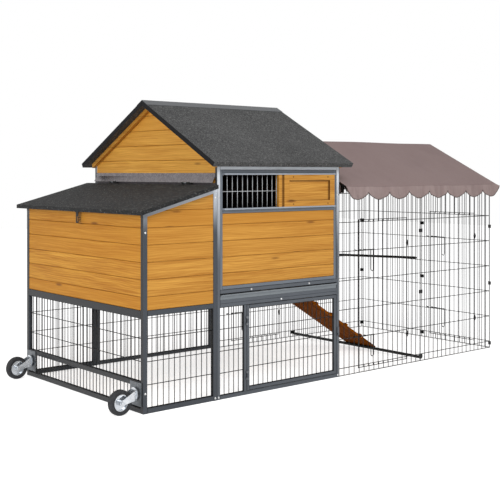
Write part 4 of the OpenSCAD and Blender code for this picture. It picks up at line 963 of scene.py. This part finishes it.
# the cloth as a function of u along the ridge and a row across it: a waving valance hangs from the fold,
# the slope rises to the ridge and sags between the rafters, and small drag lines run down from them
def clothPoints(u, side, hang, slope):
    bay = np.sin(2 * np.pi * u) ** 2
    least = canopy["eaveSag"]
    sag = canopy["sag"] * bay * (least + (1 - least) * np.sin(np.pi * slope))
    lines = np.sin(26 * np.pi * u + 5 * slope * np.sin(4 * np.pi * u))
    drag = canopy["drag"] * bay * np.sin(np.pi * slope) ** 0.5 * lines
    off, wave, fine, finest = canopy["pleat"]
    pleat = off + wave * np.sin(2 * np.pi * u * canopy["scallops"])
    pleat = pleat + fine * np.sin(2 * np.pi * 21.3 * u + 1.7 * np.sin(11 * u)) + finest * np.sin(167 * u)
    pleat = hang**0.7 * pleat
    endX = run["x"] + run["length"] + canopy["endOver"]
    endX = endX + slope * (canopy["ridgeOver"] - canopy["endOver"]) + hang * canopy["hemOut"]
    x = canopy["x"] + u * (endX - canopy["x"])
    y = canopy["middle"] + side * ((1 - slope) * canopy["half"] + pleat)
    z = canopy["eave"] + slope * canopy["rise"] - hang * hemDepth(u) - sag + drag - canopy["seat"]
    return np.stack([x, y, z], -1)


valanceShare = np.linspace(1, 0, canopy["valanceRows"])
slopeShare = np.linspace(0, 1, canopy["slopeRows"])[1:]
hangRows = np.concatenate([valanceShare, np.zeros(len(slopeShare))])
slopeRows = np.concatenate([np.zeros(len(valanceShare)), slopeShare])
sideRows = np.concatenate([-np.ones(len(hangRows)), np.ones(len(hangRows) - 1)])
hangRows = np.concatenate([hangRows, hangRows[-2::-1]])[None, :]
slopeRows = np.concatenate([slopeRows, slopeRows[-2::-1]])[None, :]
alongU = np.linspace(0, 1, canopy["columns"] + 1)[:, None]
cloth = clothPoints(alongU, sideRows[None, :], hangRows, slopeRows)
foldEase = np.where(np.abs(slopeRows - 1) < 0.2, 0.0, canopy["ease"])[..., 1:-1, None]
# the folds at the eaves are eased a little, the ridge and the hems stay
for step in range(canopy["easeSteps"]):
    cloth[:, 1:-1] += foldEase * (cloth[:, :-2] - 2 * cloth[:, 1:-1] + cloth[:, 2:])
cloth = inFrame(cloth)
acrossCloth = np.linalg.norm(np.diff(cloth, axis=1), axis=2)
flatV = np.concatenate([np.zeros((len(cloth), 1)), np.cumsum(acrossCloth, axis=1)], 1)
flatV -= flatV[:, flatV.shape[1] // 2][:, None]
flatU = cloth[..., 0] - cloth[0, 0, 0]
clothUv = np.stack([flatU, flatV], -1).reshape(-1, 2)
clothSkin = skinFaces(cloth.shape[0], cloth.shape[1], closed=False, capped=False)
clothFaces = [face[::-1] for face in clothSkin]
canopyCover = addPiece(
    "canopy_cover",
    cloth.reshape(-1, 3),
    clothFaces,
    canopyCloth,
    "coop",
    ["canopy"],
    clothUv,
)
thickness = canopyCover.modifiers.new("cloth thickness", "SOLIDIFY")
thickness.thickness = canopy["thick"]
thickness.offset = -1.0


# binding: a small round edge carried along a border of the cloth, square to it at every point
def borderBinding(path, radius, sides=8):
    along = np.gradient(path, axis=0)
    along /= np.linalg.norm(along, axis=1, keepdims=True)
    across = np.cross(along, [0.0, 1.0, 0.3])
    across /= np.linalg.norm(across, axis=1, keepdims=True)
    other = np.cross(along, across)
    turn = np.arange(sides) * 2 * np.pi / sides
    ring = across[:, None] * np.cos(turn)[None, :, None] + other[:, None] * np.sin(turn)[None, :, None]
    return (path[:, None] + ring * radius).reshape(-1, 3), skinFaces(len(path), sides)


inset = np.array([0.0, 0.0, canopy["bindingLift"]])
hems = (cloth[:, 0], cloth[:, -1])
points, faces = joined([borderBinding(hem + inset, canopy["bindingRadius"]) for hem in hems])
canopyHem = addPiece("canopy_binding", points, faces, hemCloth, "coop")


# floor, light and camera

studio = {
    "floor": (240, 240, 240),
    "floorHalf": 14.0,
    "floorDrop": 0.0006,
    "floorLift": 0.66,  # white added to the floor where the camera sees it
    "world": 0.56,
    "key": {"place": (-1.6, -5.2, 4.6), "target": (0.0, 0.0, 0.5), "size": 3.0, "power": 185.0},
    "fill": {"place": (-6.0, -1.2, 1.7), "target": (-0.9, 0.0, 0.9), "size": 2.6, "power": 80.0},
    "lens": 69.2,
    "sensor": 36.0,
    "shiftY": -0.154,
    "eye": (-3.99925, -4.541, 1.182),
    "turn": -40.1,
}

floorMesh = bpy.data.meshes.new("studio_floor")
corners = np.array([[-1, -1], [1, -1], [1, 1], [-1, 1]]) * studio["floorHalf"]
floorMesh.from_pydata([(x, y, -studio["floorDrop"]) for x, y in corners.tolist()], [], [(0, 1, 2, 3)])
floor = bpy.data.objects.new("studio_floor", floorMesh)
bpy.context.scene.collection.objects.link(floor)

floorFinish = bpy.data.materials.new("studio_floor")
floorFinish.use_nodes = True
floorTree = Link(floorFinish.node_tree)
floorShader = floorFinish.node_tree.nodes["Principled BSDF"]
floorShader.inputs["Base Color"].default_value = paint(*studio["floor"])
floorShader.inputs["Roughness"].default_value = 0.95
floorShader.inputs["Specular IOR Level"].default_value = 0.0
lift = studio["floorLift"]
lifted = floorTree.seenRays().mixed((0, 0, 0, 1), (lift, lift, lift, 1))
floorTree.plug(floorShader.inputs["Emission Color"], lifted)
floorShader.inputs["Emission Strength"].default_value = 1.0
floorMesh.materials.append(floorFinish)

world = bpy.data.worlds.new("studio")
world.use_nodes = True
bpy.context.scene.world = world
sky = Link(world.node_tree)
background = world.node_tree.nodes["Background"]
background.inputs["Color"].default_value = (1, 1, 1, 1)
plainLight = studio["world"]
sky.plug(background.inputs["Strength"], sky.seenRays() * (1.0 - plainLight) + plainLight)


# a square lamp that looks from its place to its target: tipped from straight down, then turned in plan
def softBox(name, place, target, size, power):
    lamp = bpy.data.lights.new(name, "AREA")
    lamp.shape, lamp.size, lamp.energy = "SQUARE", size, power
    box = bpy.data.objects.new(name, lamp)
    bpy.context.scene.collection.objects.link(box)
    aim = np.array(target) - np.array(place)
    box.location = place
    box.rotation_euler = (
        math.atan2(math.hypot(aim[0], aim[1]), -aim[2]),
        0.0,
        math.atan2(aim[1], aim[0]) - math.pi / 2,
    )


softBox("key_light", **studio["key"])
softBox("fill_light", **studio["fill"])

camera = bpy.data.cameras.new("camera")
camera.lens = studio["lens"]
camera.sensor_width = studio["sensor"]
camera.shift_y = studio["shiftY"]
eye = bpy.data.objects.new("camera", camera)
eye.location = studio["eye"]
eye.rotation_euler = (math.radians(90), 0.0, math.radians(studio["turn"]))
bpy.context.scene.collection.objects.link(eye)
bpy.context.scene.camera = eye
bpy.context.scene.view_settings.view_transform = "Standard"
print("studio set")

print("finished")
